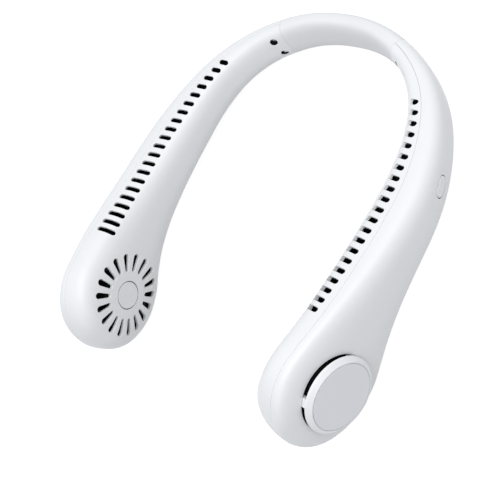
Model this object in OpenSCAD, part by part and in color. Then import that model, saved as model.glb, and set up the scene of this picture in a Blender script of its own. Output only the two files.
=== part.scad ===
// Hands-free neck fan: two hollow arms with a centrifugal blower in each head,
// joined behind the neck by a soft band on a spring steel core.
// Lengths are in millimetres. X points to the wearer's left, Y to the back, Z up.

/* [Overall] */
// Outer width across the two arms
arm_spread = 185; // [175:1:200]
// Length from the tips of the heads to the back of the neck band
frame_length = 200; // [190:1:215]
// Height of a round blower head
head_height = 60; // [58:0.5:63]
// Angle by which the heads turn in towards the collar bones
head_toe_in = 9.5; // [7:0.5:12]
// Distance along the path from a head's tip to the end of its arm
arm_run = 203; // [196:1:208]

/* [Shells] */
// Wall thickness of the shells
shell_wall = 1.6; // [1.4:0.1:1.8]
// Depth of the inner shell at the head, from the parting line to the neck side
inner_depth = 15.4; // [15:0.1:16]
// Depth of the outer shell where the arm is fullest
outer_depth = 11.4; // [11:0.1:12.5]
// How far the arm's top line dips between the head and the band
top_dip = 3.2; // [1:0.2:5]
// Radius that rounds the tip of a head, seen from above
nose_radius = 14; // [10:1:18]

/* [Air slots] */
// Number of air slots along each arm
slot_count = 21; // [15:1:21]
// Distance along the path to the first slot
slot_first = 52.7; // [50:0.5:56]
// Distance between the first two slots
slot_pitch = 5.2; // [4.6:0.1:5.3]
// Width of a slot
slot_width = 2.5; // [2:0.1:3]
// Length of the slot next to the head
slot_long = 8.2; // [7:0.2:10]
// Length of the slot next to the band
slot_short = 4.4; // [4:0.2:6]

/* [Round grille] */
// Number of radial slots in the grille
grille_count = 18; // [12:1:20]
// Radius at the inner ends of the grille slots
grille_inner = 12.6; // [12:0.1:13.5]
// Radius at the outer ends of the grille slots
grille_outer = 21; // [19:0.1:22]
// Width of a grille slot at its outer end
grille_slot = 2.9; // [2.2:0.1:3.2]
// Radius of the cap in the middle of the grille
cap_radius = 7; // [6.6:0.1:7.6]
// Thickness of the cap
cap_thick = 0.9; // [0.8:0.1:1.2]

/* [Intake cover] */
// Radius of the pocket that the intake cover stands in
pocket_radius = 19.6; // [19.3:0.1:20.5]
// Depth of the pocket below the face of the outer shell
pocket_depth = 3.1; // [2.8:0.1:3.3]
// Radius of the intake cover at its rim
cover_radius = 19.5; // [19:0.1:19.8]
// How far the cover stands proud of the outer shell
cover_proud = 4.9; // [4:0.1:6]
// Thickness of the cover
cover_thick = 1.8; // [1.6:0.1:2]
// Radius of the flat inlay in the cover
inlay_radius = 16.5; // [16:0.1:17.4]
// Radius of the air inlet under the cover
inlet_radius = 14.5; // [13:0.5:15]

/* [Impeller and motor] */
// Number of blades
blade_count = 26; // [18:1:32]
// Outer radius of the impeller
impeller_radius = 24; // [23:0.1:24.5]
// Radius of the impeller's eye, inside the blades
eye_radius = 17.5; // [16.5:0.1:18.5]
// Width of the impeller along its axis
impeller_width = 12; // [10:0.1:12.2]
// Thickness of a blade
blade_thick = 0.8; // [0.6:0.1:1]
// Outer radius of the motor's rotor can
can_radius = 9.3; // [9:0.1:9.6]
// Radius of the motor shaft
shaft_radius = 1; // [0.8:0.1:1.2]
// Radial running clearance of the shaft in its bearing
running_fit = 0.02; // [0.01:0.01:0.05]
// Number of stator teeth
tooth_count = 6; // [6:1:9]

/* [Neck band] */
// Height of the band
band_height = 20.5; // [19:0.1:22]
// Thickness of the band
band_thick = 10; // [9.6:0.1:11]
// How much higher the band's top lies than the head's top
band_rise = 4.1; // [2:0.1:6]
// Thickness of the band's soft skin
band_skin = 2; // [1.6:0.1:2.2]
// Height of the spring steel core
core_height = 7.4; // [6:0.2:7.4]
// Thickness of the spring steel core
core_thick = 0.8; // [0.5:0.1:1]
// Diameter of the cable through the band
cable_size = 1.8; // [1.6:0.1:2]
// Diameter of the screw recesses at the end of an arm
recess_size = 3.6; // [3.2:0.1:4]

/* [Electrics] */
// Diameter of a battery cell
cell_size = 14.2; // [13.5:0.1:14.4]
// Length of a battery cell
cell_length = 50; // [44:1:51]
// Length of the power button's pill
button_length = 10.6; // [9:0.2:12]
// Width of the power button's pill
button_width = 5.6; // [5:0.1:6.2]
// Travel of the power button
button_travel = 0.6; // [0.4:0.1:0.8]
// Distance along the path to the power button
button_run = 128.5; // [124:0.5:132]
// Length of the main board
board_length = 34; // [32:1:36]
// Height of the main board
board_height = 13; // [12:0.5:14]

/* [Hidden] */
$fn = 48;

// Clearance between pieces that are put together
clear = 0.15;
// How far a cut runs past the surface that it opens
overrun = 1;
// How deep a rib or boss is rooted in the wall that carries it
root = 0.4;

// Points round half a section, and rings along a head's nose and along an arm
half_steps = 14;
nose_steps = 7;
arm_steps = 22;
band_steps = 12;
path_steps = 200;

head_radius = head_height / 2;
band_half = band_thick / 2;

// Heading of the path in degrees from Y towards X, at shares of its length
heading_turns = [
    [0, head_toe_in], [0.182, head_toe_in], [0.223, head_toe_in / 3], [0.27, head_toe_in / 8], [0.33, 0.6],
    [0.41, -0.6], [0.46, -3], [0.52, -9.3], [0.585, -16.5], [0.65, -26.5], [0.72, -42.5], [0.81, -60.5],
    [0.9, -75], [1, -90]
];
// Height of the section between band height, 0, and head height, 1, from a head's centre to the band's
height_shares = [
    [0, 1], [0.066, 0.903], [0.113, 0.728], [0.17, 0.528], [0.24, 0.359], [0.321, 0.249], [0.396, 0.187],
    [0.458, 0.146], [0.524, 0.097], [0.6, 0.054], [0.684, 0.015], [0.783, 0], [1, 0]
];
// How far the top line lies below the head's top, as a share of its dip
dip_shares = [
    [0, 0], [0.066, 0.05], [0.113, 0.25], [0.17, 0.56], [0.24, 0.84], [0.321, 1], [0.396, 1], [0.458, 0.88],
    [0.524, 0.66], [0.6, 0.35], [0.684, 0.1], [0.783, 0], [1, 0]
];
// How far the top line has risen towards the band, as a share of its rise
rise_shares = [[0, 0], [0.458, 0], [0.6, 0.12], [0.684, 0.3], [0.783, 0.66], [0.892, 1], [1, 1]];
// Depth of the inner shell between the band's half thickness, 0, and its depth at the head, 1
inner_shares = [
    [0, 1], [0.066, 1.02], [0.113, 1.04], [0.17, 1.03], [0.24, 1.01], [0.321, 0.97], [0.396, 0.9],
    [0.458, 0.8], [0.524, 0.64], [0.6, 0.45], [0.684, 0.27], [0.783, 0.11], [0.892, 0], [1, 0]
];
// Depth of the outer shell between the band's half thickness, 0, and its fullest depth, 1
outer_shares = [
    [0, 0.4], [0.066, 0.42], [0.113, 0.5], [0.17, 0.67], [0.24, 0.83], [0.321, 0.95], [0.396, 1],
    [0.458, 0.95], [0.524, 0.83], [0.6, 0.61], [0.684, 0.34], [0.783, 0.11], [0.892, 0], [1, 0]
];
// Roundness of the section, the power of its superellipse, at the head and at the band
head_power = 3.4;
band_power = 2.9;
nose_power = 2.4;

// Slope of a table of pairs at one of its rows, level at both ends
function slope(table, i) = i == 0 || i == len(table) - 1 ? 0
    : (table[i + 1][1] - table[i - 1][1]) / (table[i + 1][0] - table[i - 1][0]);
// Row of a table at which the span that holds t starts
function span(table, t, i = 0) = i >= len(table) - 2 || t < table[i + 1][0] ? i : span(table, t, i + 1);
// Value of a table at t, on a smooth curve through its rows
function smooth(table, t) =
    let (i = span(table, t), a = table[i], b = table[i + 1], w = b[0] - a[0], u = (t - a[0]) / w)
    a[1] * (1 + 2 * u) * (1 - u) * (1 - u) + b[1] * u * u * (3 - 2 * u)
        + w * u * (1 - u) * (slope(table, i) * (1 - u) - slope(table, i + 1) * u);

// Path of the parting line, from a head's tip to the middle of the band, first in unit steps
unit_path = [
    for (k = 0, p = [0, 0]; k <= path_steps;
        h = lookup((k + 0.5) / path_steps, heading_turns), p = p + [sin(h), cos(h)], k = k + 1) p
];
unit_end = unit_path[path_steps];
unit_wide = max([for (p = unit_path) p[0]]) - unit_end[0];
// The same path at its real size, with the band's middle on the Y axis
path = [
    for (p = unit_path) [
        (arm_spread / 2 - outer_depth) * (p[0] - unit_end[0]) / unit_wide,
        (frame_length - band_half) * p[1] / unit_end[1]
    ]
];
path_runs = [
    for (k = 0, run = 0; k <= path_steps; k = k + 1, run = k > path_steps ? run : run + norm(path[k] - path[k - 1]))
        run
];
path_length = path_runs[path_steps];
path_x = [for (k = [0:path_steps]) [path_runs[k], path[k][0]]];
path_y = [for (k = [0:path_steps]) [path_runs[k], path[k][1]]];
path_heading = [
    for (k = [1:path_steps])
        [(path_runs[k - 1] + path_runs[k]) / 2, 90 - atan2(path[k][1] - path[k - 1][1], path[k][0] - path[k - 1][0])]
];

// Heading of the path at a distance along it
function heading(run) = lookup(run, path_heading);
// Point beside the path: side is positive away from the neck, up is measured from the head's centre
function at(run, side, up) = run > path_length
    ? let (p = at(2 * path_length - run, side, up)) [-p[0], p[1], p[2]]
    : let (h = heading(run))
        [lookup(run, path_x) + side * cos(h), lookup(run, path_y) - side * sin(h), up];
// Distance along the path, folded back at the middle of the band
function fold(run) = min(run, 2 * path_length - run);
// Share of the way from a head's centre to the band's middle
function share(run) = max(0, (fold(run) - head_radius) / (path_length - head_radius));

// Height of the section, its top line, and its depth on one side, at a distance along the path
function height(run) = band_height + (head_height - band_height) * smooth(height_shares, share(run));
function top(run) = head_radius - top_dip * smooth(dip_shares, share(run))
    + band_rise * smooth(rise_shares, share(run));
function depth(run, side) = side < 0
    ? band_half + (inner_depth - band_half) * smooth(inner_shares, share(run))
    : band_half + (outer_depth - band_half) * smooth(outer_shares, share(run));
function middle(run) = run < head_radius ? 0 : top(run) - height(run) / 2;
function power(run) = head_power + (band_power - head_power) * share(run);

// Half height and depth of the section, set in from the surface
function half_height(run, inset = 0) = run < head_radius
    ? sqrt(max(0, pow(head_radius - inset, 2) - pow(head_radius - run, 2)))
    : height(run) / 2 - inset;
function nose(run, inset) = run >= nose_radius ? 1
    : pow(1 - pow((nose_radius - run) / (nose_radius - inset), nose_power), 1 / nose_power);
function half_depth(run, side, inset = 0) = (depth(run, side) - inset) * nose(run, inset);

// Place on the section, side and up, at an angle from its top, positive away from the neck
function section(run, angle, inset = 0) =
    let (e = 2 / power(run), s = sin(angle), c = cos(angle)) [
        sign(s) * half_depth(run, sign(s), inset) * pow(abs(s), e),
        middle(run) + sign(c) * half_height(run, inset) * pow(abs(c), e)
    ];
function rim(run, angle, inset = 0) = let (p = section(run, angle, inset)) at(run, p[0], p[1]);
// Level at a share of the section's height, and a distance above it
function level_at(run, share_up) = top(run) - height(run) * (1 - share_up);
// Height of the section's upper surface at a place beside the path, and its lower one
function rise(run, side, inset = 0) = half_height(run, inset)
    * pow(1 - pow(abs(side) / half_depth(run, sign(side), inset), power(run)), 1 / power(run));
// Reach of the section to one side at a height
function reach(run, side, up, inset = 0) = half_depth(run, side, inset)
    * pow(max(0, 1 - pow(abs(up - middle(run)) / half_height(run, inset), power(run))), 1 / power(run));

// Distances of the rings of a half shell, closest together round the nose
function ring_runs(inset) = concat(
    [for (i = [1:nose_steps]) head_radius - (head_radius - inset) * cos(90 * i / nose_steps)],
    [for (i = [1:arm_steps]) head_radius + (arm_run - head_radius) * i / arm_steps]
);
function half_rings(side, inset) = [
    for (run = ring_runs(inset)) [for (j = [0:half_steps]) rim(run, side * 180 * j / half_steps, inset)]
];

// Triangles of a strip between two rows of point numbers
function strip(a, b) = [
    for (j = [0:len(a) - 2]) each [[a[j], b[j], b[j + 1]], [a[j], b[j + 1], a[j + 1]]]
];
// Triangles of a surface over a grid of point numbers
function sheet(rows) = [for (i = [0:len(rows) - 2]) each strip(rows[i], rows[i + 1])];
function flipped(faces) = [for (f = faces) [f[2], f[1], f[0]]];
function column(rows, j) = [for (r = rows) r[j]];
function ring_count(rings) = len(rings[0]);
// Point numbers of rings that are stored one after another from a first number
function numbers(rings, first) = [
    for (i = [0:len(rings) - 1]) [for (j = [0:ring_count(rings) - 1]) first + i * ring_count(rings) + j]
];
function joined(rings) = [for (r = rings) each r];
function closed(rows) = [for (r = rows) concat(r, [r[0]])];

// Half shell of an arm: side is 1 for the outer shell and -1 for the inner shell
module half_shell(side) {
    outside = half_rings(side, 0);
    inside = half_rings(side, shell_wall);
    outer_rows = numbers(outside, 2);
    inner_rows = numbers(inside, 2 + len(joined(outside)));
    last = len(outside) - 1;
    tip_fan = [for (j = [0:half_steps - 1]) [0, outer_rows[0][j], outer_rows[0][j + 1]]];
    well_fan = [for (j = [0:half_steps - 1]) [1, inner_rows[0][j + 1], inner_rows[0][j]]];
    top_seam = concat([[0, 1, inner_rows[0][0]], [0, inner_rows[0][0], outer_rows[0][0]]],
        strip(column(outer_rows, 0), column(inner_rows, 0)));
    low_seam = concat(
        [[0, inner_rows[0][half_steps], 1], [0, outer_rows[0][half_steps], inner_rows[0][half_steps]]],
        flipped(strip(column(outer_rows, half_steps), column(inner_rows, half_steps))));
    faces = concat(tip_fan, sheet(outer_rows), well_fan, flipped(sheet(inner_rows)), top_seam, low_seam,
        flipped(strip(inner_rows[last], outer_rows[last])));
    polyhedron(
        points = concat([at(0, 0, 0), at(shell_wall, 0, 0)], joined(outside), joined(inside)),
        faces = side > 0 ? faces : flipped(faces)
    );
}

// Solid between rings of equally many points, with flat ends
module loft(rings) {
    rows = closed(numbers(rings, 0));
    count = ring_count(rings);
    ends = concat(
        [for (j = [1:count - 2]) let (r = rows[0]) [r[0], r[j], r[j + 1]]],
        [for (j = [1:count - 2]) let (r = rows[len(rows) - 1]) [r[0], r[j + 1], r[j]]]
    );
    polyhedron(points = joined(rings), faces = concat(sheet(rows), ends));
}

// Tube between an outer and an inner set of rings
module pipe(outside, inside) {
    outer_rows = closed(numbers(outside, 0));
    inner_rows = closed(numbers(inside, len(joined(outside))));
    last = len(outside) - 1;
    polyhedron(points = concat(joined(outside), joined(inside)), faces = concat(
        sheet(outer_rows), flipped(sheet(inner_rows)),
        strip(inner_rows[0], outer_rows[0]), flipped(strip(inner_rows[last], outer_rows[last]))));
}

// Lowest point of a set of points after the frame is tilted by an angle
function lowest(points, tilt) = min([for (p = points) p[2] * cos(tilt) - p[1] * sin(tilt)]);
// Tilt at which the heads and the band stand on one level
function level(head, band, low, high, steps) =
    let (mid = (low + high) / 2)
    steps == 0 ? mid
        : lowest(head, mid) < lowest(band, mid) ? level(head, band, mid, high, steps - 1)
            : level(head, band, low, mid, steps - 1);

band_gap = 0.1;
band_start = arm_run + band_gap;
band_runs = [
    for (i = [0:band_steps]) band_start + (2 * path_length - 2 * band_start) * i / band_steps
];
band_sides = 24;
function band_rings(inset) = [
    for (run = band_runs) [for (j = [0:band_sides - 1]) rim(run, 360 * j / band_sides, inset)]
];

module place(side) {
    translate([0, -rest_middle, -rest_floor])
        rotate([-rest_tilt, 0, 0])
            mirror([side > 0 ? 0 : 1, 0, 0])
                children();
}

head_points = concat(joined(half_rings(1, 0)), joined(half_rings(-1, 0)), [at(0, 0, 0)]);
band_points = joined(band_rings(0));
// Steepest tilt that is tried, and how often the span that holds the right one is halved
tilt_most = 30;
tilt_steps = 24;
rest_tilt = level(head_points, band_points, 0, tilt_most, tilt_steps);
rest_floor = min(lowest(head_points, rest_tilt), lowest(band_points, rest_tilt));
function far(points) = [for (p = points) p[1] * cos(rest_tilt) + p[2] * sin(rest_tilt)];
rest_middle = (min(far(head_points)) + max(far(band_points))) / 2;

// Round-ended outline, lying along X
module pill(length, width) {
    square([length - width, width], center = true);
    for (end = [-1, 1])
        translate([end * (length - width) / 2, 0])
            circle(d = width);
}

// Frame on the path: X away from the neck, Y along the path, Z up from the head's centre
module on_path(run) {
    translate(at(run, 0, 0))
        rotate([0, 0, -heading(run)])
            children();
}

// Frame at a head's centre: Z towards the neck, X up, Y along the path
module on_head() {
    on_path(head_radius)
        rotate([0, -90, 0])
            children();
}

// Frame at a head's centre: Z away from the neck, X up, Y along the path
module on_outside() {
    on_head()
        mirror([0, 0, 1])
            children();
}

// Round-ended prism that stands on its outline
module pill_prism(length, width, tall) {
    linear_extrude(tall)
        pill(length, width);
}

// Round bar or hole along the frame's X axis
module bar_x(radius, from, to) {
    translate([from, 0, 0])
        rotate([0, 90, 0])
            cylinder(r = radius, h = to - from);
}

// Ring or disc with a hole
module washer(outer, inner, low, high) {
    translate([0, 0, low])
        difference() {
            cylinder(r = outer, h = high - low);
            translate([0, 0, -overrun])
                cylinder(r = inner, h = high - low + 2 * overrun);
        }
}

// Frames that places around a centre share
module around(count, radius, phase = 0) {
    for (i = [0:count - 1])
        rotate(phase + 360 * i / count)
            translate([radius, 0, 0])
                children();
}

// Round tube of eight sides through a list of places on the path: distance, side and up
tube_sides = 8;
module tube(stations, radius) {
    points = [for (p = stations) at(p[0], p[1], p[2])];
    last = len(points) - 1;
    loft([
        for (i = [0:last])
            let (
                way = points[min(last, i + 1)] - points[max(0, i - 1)],
                along = way / norm(way),
                across = cross(along, [0, 0, 1]) / norm(cross(along, [0, 0, 1])),
                over = cross(across, along)
            )
            [for (j = [0:tube_sides - 1]) let (a = 360 * j / tube_sides)
                points[i] + radius * (over * cos(a) + across * sin(a))]
    ]);
}

// Duct floor: from the tongue beside the impeller up over the cell and along under the slots
floor_thick = 1.2;
floor_slip = 0.25;
tongue_gap = 1.6;
tongue_angle = 35;
floor_start = head_radius + (impeller_radius + tongue_gap) * cos(tongue_angle);
floor_back = 35;
floor_end = arm_run - floor_back;
// Level of the floor in the section, 0 at the bottom and 1 at the top, at shares of its length
floor_shares = [
    [0, 0.146], [0.03, 0.219], [0.056, 0.361], [0.085, 0.471], [0.128, 0.495], [0.248, 0.513], [0.385, 0.57],
    [0.521, 0.657], [0.675, 0.688], [0.846, 0.681], [1, 0.68]
];
// Share of its length at which it has climbed to the top of the cell, and how far before the cell that is
climb_share = 0.085;
climb_lead = 2.4;

// Air slots: growth of their pitch along the arm, and where and how steeply they lie on the section
slot_growth = 0.021;
slot_place_shares = [[0, 0.57], [0.5, 0.44], [1, 0.47]];
slot_tilts = [[0, 17], [0.5, 20], [1, 42]];
// All slots point the same way in plan, as one slide of the mould forms them
slot_bearing = 17;
slot_cut_depth = 3;
module air_slots() {
    for (i = [0:slot_count - 1]) {
        share_along = i / (slot_count - 1);
        run = slot_first + slot_pitch * i + slot_growth * i * i;
        place_side = -lookup(share_along, slot_place_shares) * half_depth(run, -1);
        if (run < floor_end)
            on_path(run)
                translate([place_side, 0, middle(run) + rise(run, place_side)])
                    rotate([0, -lookup(share_along, slot_tilts), 0])
                        rotate(heading(run) - slot_bearing)
                            translate([0, 0, -slot_cut_depth])
                                pill_prism(slot_long + (slot_short - slot_long) * share_along, slot_width,
                                    slot_cut_depth + overrun);
    }
}

// Round grille: the narrow end of a slot as a share of its wide end
grille_taper_share = 0.6;
module grille_slots() {
    narrow = grille_slot * grille_taper_share;
    around(grille_count, 0)
        linear_extrude(inner_depth + overrun) {
            polygon([
                [grille_inner, -narrow / 2], [grille_outer, -grille_slot / 2],
                [grille_outer, grille_slot / 2], [grille_inner, narrow / 2]
            ]);
            translate([grille_inner, 0])
                circle(d = narrow);
            translate([grille_outer, 0])
                circle(d = grille_slot);
        }
}

// Motor seat behind the cap, and the three screws that the cap hides
seat_height = 1.4;
seat_radius = 10.6;
motor_seat = inner_depth - shell_wall - seat_height;
screw_radius = 0.8;
screw_slip = 0.02;
screw_hole = screw_radius + screw_slip;
motor_screws_count = 3;
motor_screw_place = 5.2;
motor_screw_head = 1.5;
motor_head_tall = 0.9;
cap_seat = inner_depth - cap_thick;
motor_head_seat = cap_seat - motor_head_tall;

// Battery cell, laid along the bottom of the arm behind the tongue, between cradle ribs
cell_back = 11.3;
cell_run = floor_start + cell_back;
cell_side = -2;
cell_low_share = 0.295;
cell_high_share = 0.355;
cell_nub_radius = 2.8;
cell_nub_tall = 1;
cell_from = at(cell_run, cell_side, level_at(cell_run, cell_low_share));
cell_to = at(cell_run + cell_length, cell_side, level_at(cell_run + cell_length, cell_high_share));
module on_cell() {
    way = cell_to - cell_from;
    translate(cell_from)
        rotate([0, acos(way[2] / norm(way)), atan2(way[1], way[0])])
            children();
}

rib_thick = 1.4;
rib_shares = [0.12, 0.5, 0.88];
rib_runs = [for (s = rib_shares) cell_run + s * cell_length];
rib_reach = 5.5;
rib_height = 4;
module cradle_ribs(side) {
    inner_end = side > 0 ? clear : cell_side - rib_reach;
    outer_end = side > 0 ? cell_side + rib_reach : -clear;
    difference() {
        for (run = rib_runs)
            on_path(run)
                translate([inner_end, -rib_thick / 2, level_at(run, 0) + shell_wall / 2])
                    cube([outer_end - inner_end, rib_thick, shell_wall / 2 + rib_height]);
        on_cell()
            translate([0, 0, -overrun])
                cylinder(d = cell_size + 2 * clear, h = cell_length + 2 * overrun);
    }
}

// Place of the duct floor along the path at a share of its length, the share at a place, and its level
floor_stations = [[0, floor_start], [climb_share, cell_run - climb_lead], [1, floor_end]];
function floor_run(share_along) = lookup(share_along, floor_stations);
function floor_share(run) = lookup(run, [for (s = floor_stations) [s[1], s[0]]]);
function floor_level(run) = level_at(run, smooth(floor_shares, floor_share(run)));

// Band plug: a bar inside the arm's end and the band's end, held by two screws
plug_hold = 15;
plug_run = arm_run - plug_hold;
plug_reach_share = 0.228;
plug_reach = plug_reach_share * (path_length - arm_run);
plug_steps = 6;
plug_inset = band_skin + clear;
core_grip = 4;
core_run = plug_run + core_grip;
recess_spread = 9.5;
recess_depth = 0.6;
recess_low_back = 5;
recess_high_back = 6.4;
recess_runs = [arm_run - recess_low_back, arm_run - recess_high_back];
plug_head_radius = 1.6;
plug_head_tall = 0.8;
plug_bite = 1;
plug_boss_radius = 2.4;
module at_recesses() {
    for (i = [0:1])
        on_path(recess_runs[i])
            translate([0, 0, middle(recess_runs[i]) + (i - 0.5) * recess_spread])
                children();
}
recess_run = recess_runs[0];
plug_inner = -half_depth(recess_run, -1, plug_inset);
plug_outer = half_depth(recess_run, 1, plug_inset);
plug_head_seat = plug_inner + recess_depth;
plug_screw_end = half_depth(recess_run, 1) - shell_wall + plug_bite;

// Frame of the main board: its origin is in the board's middle, and its upper edge follows the duct floor
board_gap = 1.7;
board_room = 0.6;
board_run = cell_run + cell_length + board_gap + board_length / 2;
function board_top(run) = floor_level(run) - floor_thick / 2 - board_room;
board_tops = [for (end = [-1, 1]) board_top(board_run + end * board_length / 2)];
board_tilt = asin((board_tops[1] - board_tops[0]) / board_length);
board_level = (board_tops[0] + board_tops[1]) / 2 - board_height / 2;
board_face = 1.6;
board_thick = 1.2;
board_screw_spread = 28;
board_screw_drop = 2;
board_boss_radius = 2.2;
board_screw_bite = 4;
board_head_tall = 0.9;
board_head_radius = 1.5;
module on_board() {
    on_path(board_run)
        translate([0, 0, board_level])
            rotate([board_tilt, 0, 0])
                children();
}
// Place on the shell in the board's frame
function off_board(run, side) = let (v = at(run, side, 0) - at(board_run, 0, 0), h = heading(board_run))
    v[0] * cos(h) - v[1] * sin(h);
button_along = button_run - board_run;
button_up = middle(button_run) - board_level - button_along * sin(board_tilt);
button_face = off_board(button_run, half_depth(button_run, 1));
module on_button() {
    on_board()
        translate([0, button_along, button_up])
            rotate([0, 90, 0])
                rotate(90)
                    children();
}
usb_along = 6.5;
usb_width = 8.9;
usb_thick = 3.2;
usb_deep = 7.3;
usb_wall = 0.3;
usb_tongue = 0.8;
usb_side = board_face + usb_thick / 2;
usb_run = board_run + usb_along;
usb_sunk = 0.2;
usb_low = middle(usb_run) - rise(usb_run, usb_side) + usb_sunk - board_level - usb_along * sin(board_tilt);

module inner_shell() {
    difference() {
        union() {
            half_shell(-1);
            on_head()
                translate([0, 0, motor_seat])
                    cylinder(r = seat_radius, h = seat_height + root);
            cradle_ribs(-1);
        }
        air_slots();
        on_head() {
            grille_slots();
            translate([0, 0, cap_seat])
                cylinder(r = cap_radius + clear, h = cap_thick + overrun);
            around(motor_screws_count, motor_screw_place) {
                translate([0, 0, motor_seat - overrun])
                    cylinder(r = screw_hole, h = seat_height + shell_wall + 2 * overrun);
                translate([0, 0, motor_head_seat])
                    cylinder(r = motor_screw_head + clear, h = motor_head_tall + overrun);
            }
        }
        at_recesses()
            bar_x(recess_size / 2, -half_depth(recess_run, -1) - overrun, plug_inner);
    }
}

// Outer shell: the pocket under the intake cover, with its floor and air inlet
pocket_floor_thick = 1.4;
head_face = half_depth(head_radius, 1);
pocket_floor = head_face - pocket_depth;
peg_radius = 1;
peg_place = 17.8;
leg_count = 3;
leg_phase = -34;
// Turn of the round forms, which keeps the ends of their outlines off the edges of the shell
round_turn = 8;
module outer_shell(electrics) {
    difference() {
        union() {
            half_shell(1);
            on_outside()
                rotate(round_turn)
                    translate([0, 0, pocket_floor - pocket_floor_thick])
                        cylinder(r = pocket_radius + pocket_floor_thick,
                            h = pocket_floor_thick + pocket_depth - shell_wall / 2);
            cradle_ribs(1);
            at_recesses()
                bar_x(plug_boss_radius, plug_outer + clear, half_depth(recess_run, 1) - shell_wall + root);
            if (electrics)
                board_bosses();
        }
        on_outside() {
            rotate(round_turn)
                translate([0, 0, pocket_floor])
                    cylinder(r = pocket_radius, h = pocket_depth + overrun);
            rotate(round_turn)
                translate([0, 0, pocket_floor - pocket_floor_thick - overrun])
                    cylinder(r = inlet_radius, h = pocket_floor_thick + 2 * overrun);
            around(leg_count, peg_place, leg_phase)
                translate([0, 0, pocket_floor - pocket_floor_thick - overrun])
                    cylinder(r = peg_radius + screw_slip, h = pocket_floor_thick + 2 * overrun);
        }
        at_recesses()
            bar_x(screw_hole, plug_outer, plug_screw_end + clear);
        if (electrics) {
            on_button()
                translate([0, 0, button_face - shell_wall - overrun])
                    pill_prism(button_length + 2 * clear, button_width + 2 * clear, shell_wall + 2 * overrun);
            on_board()
                translate([usb_side, usb_along, usb_low])
                    mirror([0, 0, 1])
                        rotate(90)
                            translate([0, 0, -usb_deep / 2])
                                pill_prism(usb_width + 2 * clear, usb_thick + 2 * clear, usb_deep);
        }
    }
}

module board_bosses() {
    difference() {
        on_board()
            for (end = [-1, 1])
                translate([0, end * board_screw_spread / 2, -board_screw_drop])
                    bar_x(board_boss_radius, board_face,
                        off_board(board_run + end * board_screw_spread / 2,
                            half_depth(board_run + end * board_screw_spread / 2, 1, shell_wall) + root));
        on_board()
            for (end = [-1, 1])
                translate([0, end * board_screw_spread / 2, -board_screw_drop])
                    bar_x(screw_hole, board_face - overrun, board_face + board_screw_bite + clear);
    }
}

// Intake cover: a disc with a bevelled rim, on three legs that are pegged into the pocket's floor
cover_face = head_face + cover_proud;
cover_lip = 0.5;
cover_bevel = 1.9;
cover_rim = 2.4;
inlay_thick = 0.6;
leg_width = 4.4;
leg_inner = 16.4;
module intake_cover() {
    under = cover_face - cover_thick;
    on_outside() {
        difference() {
            union() {
                rotate_extrude($fn = 96)
                    polygon([
                        [0, under], [inlay_radius - cover_lip, under], [inlay_radius + cover_lip, cover_face - cover_rim],
                        [cover_radius, cover_face - cover_rim], [cover_radius, cover_face - cover_bevel],
                        [inlay_radius + cover_lip, cover_face], [0, cover_face]
                    ]);
                around(leg_count, 0, leg_phase)
                    translate([leg_inner, -leg_width / 2, pocket_floor])
                        cube([pocket_radius - clear - leg_inner, leg_width, cover_face - cover_rim + root - pocket_floor]);
                around(leg_count, peg_place, leg_phase)
                    translate([0, 0, pocket_floor - pocket_floor_thick])
                        cylinder(r = peg_radius, h = pocket_floor_thick + root);
            }
            translate([0, 0, cover_face - inlay_thick])
                cylinder(r = inlay_radius, h = inlay_thick + overrun, $fn = 96);
        }
    }
}

module cover_inlay() {
    on_outside()
        translate([0, 0, cover_face - inlay_thick])
            cylinder(r = inlay_radius - screw_slip, h = inlay_thick, $fn = 96);
}

module side_cap() {
    on_head()
        translate([0, 0, cap_seat])
            cylinder(r = cap_radius, h = cap_thick);
}

// Motor, from its seat on the inner shell: base, board, stator, rotor
base_radius = 9.8;
base_thick = 1.2;
base_tube = 3;
bearing_radius = 2.2;
motor_board_radius = 12.2;
motor_board_thick = 0.8;
can_gap = 0.6;
can_height = 8.4;
can_wall = 0.6;
can_floor = 0.8;
can_boss = 2.2;
magnet_thick = 1.1;
stator_radius = 7.2;
stator_hub = 4.2;
stator_shoe = 0.8;
stator_height = 3.6;
tooth_width = 1.6;
shoe_gap_angle = 12;
coil_wrap = 1;
coil_inner = 4.5;
bore_radius = shaft_radius + running_fit;
base_under = motor_seat - base_thick;
can_rim = base_under - motor_board_thick - can_gap;
can_seat = can_rim - can_height;
stator_middle = (can_seat + can_floor + base_under - motor_board_thick) / 2;
tube_low = stator_middle - stator_height / 2 - coil_wrap;

module motor_base() {
    on_head()
        difference() {
            union() {
                translate([0, 0, base_under])
                    cylinder(r = base_radius, h = base_thick);
                translate([0, 0, tube_low])
                    cylinder(r = base_tube, h = motor_seat - tube_low);
            }
            translate([0, 0, tube_low - overrun])
                cylinder(r = bearing_radius, h = motor_seat - tube_low + 2 * overrun);
            around(motor_screws_count, motor_screw_place)
                translate([0, 0, base_under - overrun])
                    cylinder(r = screw_hole, h = base_thick + 2 * overrun);
        }
}

module motor_screws() {
    on_head()
        around(motor_screws_count, motor_screw_place) {
            translate([0, 0, motor_head_seat])
                cylinder(r = motor_screw_head, h = motor_head_tall);
            translate([0, 0, base_under])
                cylinder(r = screw_radius, h = motor_head_seat - base_under + root);
        }
}

module motor_board() {
    on_head()
        washer(motor_board_radius, base_tube + screw_slip, base_under - motor_board_thick, base_under);
}

module shaft_bearing() {
    on_head()
        washer(bearing_radius - screw_slip, bore_radius, tube_low, motor_seat - clear);
}

module motor_shaft() {
    on_head()
        translate([0, 0, can_seat])
            cylinder(r = shaft_radius, h = motor_seat - 2 * clear - can_seat);
}

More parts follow.
